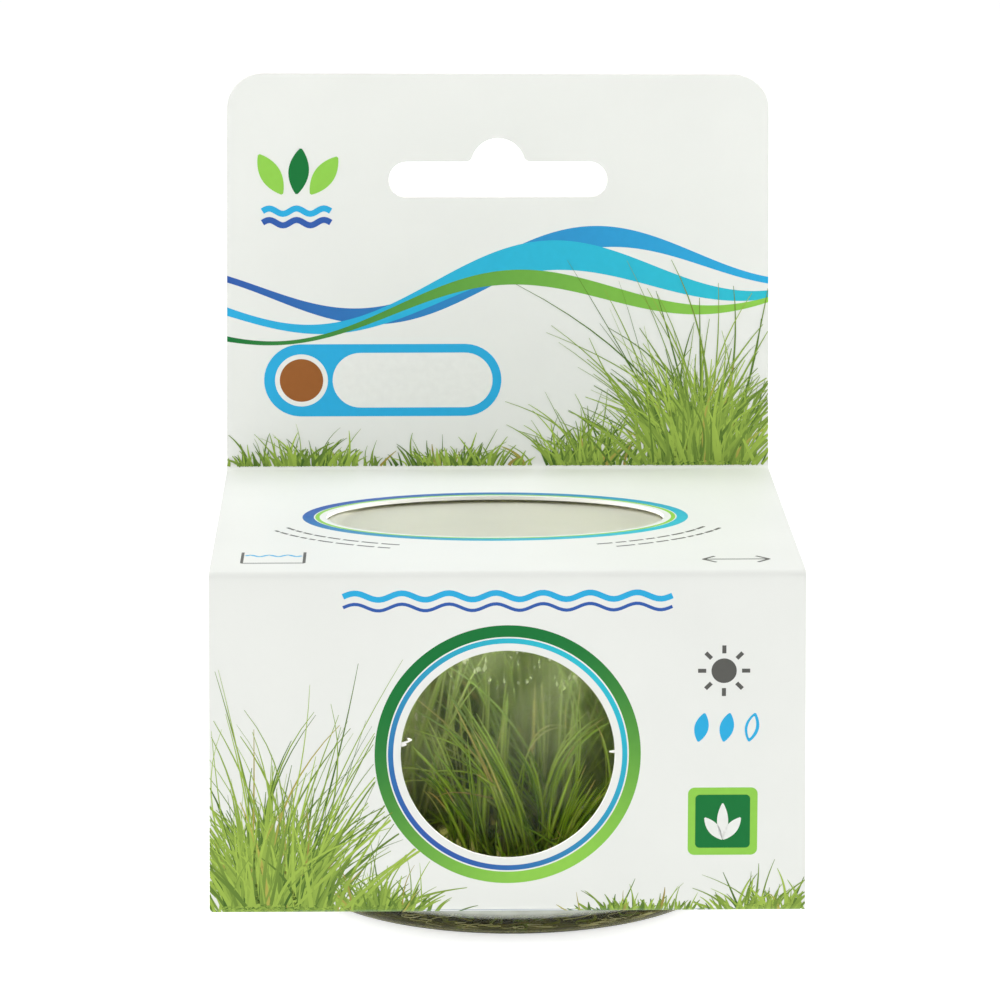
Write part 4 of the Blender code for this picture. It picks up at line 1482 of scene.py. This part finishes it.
class HAIRGRASS_OT_drops(bpy.types.Operator):
    """Set beads of condensed water on the inside of the cup's wall"""

    bl_idname = "hairgrass.drops"
    bl_label = "Water drops"

    def execute(self, context):
        cup = context.scene.hairgrass_cup
        dice = np.random.default_rng(context.scene.hairgrass_plant.seed + 57)
        # A drop is a dome of rings on the wall with a tip towards the cup's axis
        number, sides, rings = cup.drops, 12, 6
        angle = dice.uniform(0.0, FULL_TURN, number)
        z = mix(14.0 * MM, 46.0 * MM, dice.random(number) ** 0.6)
        reach = cup_radius(z) - CUP_WALL + 0.02 * MM
        inward = np.stack([-np.cos(angle), -np.sin(angle), np.zeros(number)], -1)
        aside = np.stack([-np.sin(angle), np.cos(angle), np.zeros(number)], -1)
        up = np.array((0.0, 0.0, 1.0))
        middle = about_cup(reach, angle, z)
        radius = (0.05 + 0.2 * dice.random(number) ** 4) * MM
        turn = full_circle(sides)
        rise = np.linspace(-0.5, QUARTER, rings + 1)[:-1]
        flat = radius[:, None, None, None]
        ring = np.cos(turn)[:, None] * aside[:, None, None] + 1.15 * np.sin(turn)[:, None] * up
        body = middle[:, None, None] + flat * (
            np.cos(rise)[:, None, None] * ring + 0.6 * np.sin(rise)[:, None, None] * inward[:, None, None]
        )
        tips = middle + 0.6 * radius[:, None] * inward
        points = np.concatenate([body.reshape(-1, 3), tips])
        index = numbered(number, rings, sides)
        crown = index[:, -1]
        peak = np.broadcast_to(index.size + np.arange(number)[:, None], crown.shape)
        caps = np.stack([crown, peak, np.roll(crown, -1, axis=1)], -1).reshape(-1, 3)
        finish = Finish("water_drop", (1.0, 1.0, 1.0), 0.02, Transmission_Weight=1.0, IOR=1.33)
        finish.bump(finish.noise(900.0), 0.01 * MM)
        backs = index[:, 0]
        made = mesh_piece("water_drops", points, [quads(index, closed=True), caps, backs], (finish.material,))
        settle(made, "clear_plastic")
        return {"FINISHED"}


class HAIRGRASS_OT_mist(bpy.types.Operator):
    """Breathe a patchy mist on the inside of the cup's wall, and paint a whitish band round the outside of
    its foot as a reflection
    """

    bl_idname = "hairgrass.mist"
    bl_label = "Mist"

    def execute(self, context):
        mist = self.mist(context.scene.hairgrass_cup.mist)
        self.film("mist_on_wall", 13.0 * MM, CUP_TOP - 4.0 * MM, -CUP_WALL - 0.03 * MM, mist)
        # A whitish band round the outside of the cup's foot is a painted reflection.
        self.film("painted_reflection_band", 2.6 * MM, 4.6 * MM, 0.03 * MM, self.painted_reflection_band())
        return {"FINISHED"}

    def film(self, name, low, high, off, material):
        """A ring of film whose distance from the cup's axis follows the wall's, plus an offset."""
        z = np.linspace(low, high, 14)[:, None]
        points = about_cup(cup_radius(z) + off, full_circle(128), z)
        faces = [quads(numbered(*points.shape[:2])[::-1], closed=True)]
        made = mesh_piece(name, points.reshape(-1, 3), faces, (material,))
        wall(made, 0.01 * MM)
        settle(made, "clear_plastic")

    def painted_reflection_band(self):
        """A painted reflection: a whitish veil that grows with the height and is a little uneven."""
        finish = Finish("painted_reflection_band", srgb(232, 236, 226), 0.7, Specular_IOR_Level=0.2)
        rise = finish.spread(finish.axis("Z"), 0.0, 0.58, 2.7 * MM, 3.6 * MM)
        uneven = finish.spread(finish.noise(240.0), 0.7, 1.0)
        finish.set("Alpha", finish.times(rise, uneven))
        return finish.material

    def mist(self, dense):
        """Fine beads in patches, denser towards the lid and on the far wall, with white specks under the lid
        as painted highlights.
        """
        veil, glint_tone = (0.82, 0.95, 0.52), (1.0, 1.0, 0.94)
        finish = Finish("mist", veil, 0.9, Specular_IOR_Level=0.0)
        height = finish.axis("Z")
        rise = finish.spread(height, 0.0, 1.0, 17.0 * MM, 42.0 * MM)
        patches = finish.spread(finish.noise(95.0, 3.0), 0.15, 1.0, 0.38, 0.62)
        beads = finish.spread(finish.noise(2600.0, 1.0), 0.6, 1.2)
        far = finish.spread(finish.axis("Y"), 1.0, 6.5, -8.0 * MM, 24.0 * MM)
        cover = finish.times(rise, finish.times(far, patches))
        cover = finish.times(finish.times(cover, beads), dense)
        upright = (1.0, 1.0, 0.45)
        streaks = finish.node("ShaderNodeMapping", "Vector", {"Vector": finish.place, "Scale": upright})
        # Painted highlights: white specks in upright streaks under the lid.
        painted_glints = finish.spread(finish.noise(1300.0, 2.0, streaks), 0.0, 0.75, 0.59, 0.67)
        under_lid = finish.spread(height, 0.0, 1.0, 33.0 * MM, 41.0 * MM)
        painted_glints = finish.times(painted_glints, under_lid)
        finish.set("Base Color", finish.blend(veil, glint_tone, painted_glints))
        finish.set("Alpha", finish.plus(cover, painted_glints))
        return finish.material


class HAIRGRASS_OT_stage(bpy.types.Operator):
    """Lay the pale floor, light it softly and set the camera at the pack's front"""

    bl_idname = "hairgrass.stage"
    bl_label = "Stage"

    def execute(self, context):
        scene = context.scene
        stage = scene.hairgrass_stage
        self.floor(stage)
        self.lamp("softbox_top", (0.0, -0.16, 0.9), 0.9, 0.9, stage.top_light)
        self.lamp("softbox_front", (0.0, -0.95, 0.28), 0.7, 0.35, stage.front_light)
        for side, name in ((-1.0, "softbox_left"), (1.0, "softbox_right")):
            self.lamp(name, (side * 0.5, 0.045, 0.1), 0.16, 0.2, stage.side_light)
        self.lamp("softbox_back", (0.0, 1.1, 0.9), 1.0, 1.0, stage.back_light, (0.0, 1.05, 0.0))
        world = bpy.data.worlds.new("studio")
        world.use_nodes = True
        background = world.node_tree.nodes["Background"]
        background.inputs["Color"].default_value = (1.0, 1.0, 1.0, 1.0)
        background.inputs["Strength"].default_value = stage.sky
        scene.world = world
        scene.view_settings.view_transform = "Standard"
        camera = bpy.data.cameras.new("camera")
        camera.sensor_width = 36.0
        camera.lens = stage.lens
        camera.clip_start = 0.01
        holder = new_object("camera", camera)
        holder.location = CAMERA_PLACE
        holder.rotation_euler = CAMERA_TURN
        scene.camera = holder
        return {"FINISHED"}

    def floor(self, stage):
        span = np.linspace(-3.0, 3.0, 9)
        x, y = np.meshgrid(span, span)
        points = np.stack([x, y, np.full(x.shape, -0.02 * MM)], -1).reshape(-1, 3)
        finish = Finish("pale_floor", stage.floor, 0.6, Specular_IOR_Level=0.2)
        finish.cloud(stage.floor, 0.985, 9.0)
        finish.set("Emission Color", (1.0, 1.0, 1.0))
        finish.set("Emission Strength", stage.glow)
        faces = [quads(numbered(*x.shape)[:, ::-1])]
        floor = mesh_piece("floor", points, faces, (finish.material,))

    def lamp(self, name, place, wide, high, power, aim=(0.0, 0.0, 0.03)):
        """A softbox turned to face a point, if none is given one in the cup."""
        light = bpy.data.lights.new(name, "AREA")
        light.shape = "RECTANGLE"
        light.size = wide
        light.size_y = high
        light.energy = power
        holder = new_object(name, light)
        holder.location = place
        way = np.array(aim) - np.array(place)
        level = np.hypot(way[0], way[1])
        holder.rotation_euler = (np.arctan2(level, -way[2]), 0.0, np.arctan2(-way[0], way[1]))


OPERATORS = (
    HAIRGRASS_OT_stage,
    HAIRGRASS_OT_card,
    HAIRGRASS_OT_printing,
    HAIRGRASS_OT_cup,
    HAIRGRASS_OT_lid,
    HAIRGRASS_OT_gel,
    HAIRGRASS_OT_roots,
    HAIRGRASS_OT_blades,
    HAIRGRASS_OT_drops,
    HAIRGRASS_OT_mist,
)


class HAIRGRASS_PT_panel(bpy.types.Panel):
    """List the pieces of the pack, and the sizes and colours that shape them"""

    bl_idname = "HAIRGRASS_PT_panel"
    bl_label = "Hairgrass cup"
    bl_space_type = "VIEW_3D"
    bl_region_type = "UI"
    bl_category = "Hairgrass"

    def draw(self, context):
        for name, group in GROUPS.items():
            box = self.layout.box()
            for field in group.__annotations__:
                box.prop(getattr(context.scene, name), field)
        for operator in OPERATORS:
            self.layout.operator(operator.bl_idname)


def register():
    for name, group in GROUPS.items():
        bpy.utils.register_class(group)
        setattr(bpy.types.Scene, name, bpy.props.PointerProperty(type=group))
    for made in (*OPERATORS, HAIRGRASS_PT_panel):
        bpy.utils.register_class(made)


def unregister():
    for made in (HAIRGRASS_PT_panel, *reversed(OPERATORS)):
        bpy.utils.unregister_class(made)
    for name, group in reversed(GROUPS.items()):
        delattr(bpy.types.Scene, name)
        bpy.utils.unregister_class(group)


def main():
    """Make every piece in order."""
    register()
    for operator in OPERATORS:
        group, name = operator.bl_idname.split(".")
        getattr(getattr(bpy.ops, group), name)()


if __name__ == "__main__":
    main()
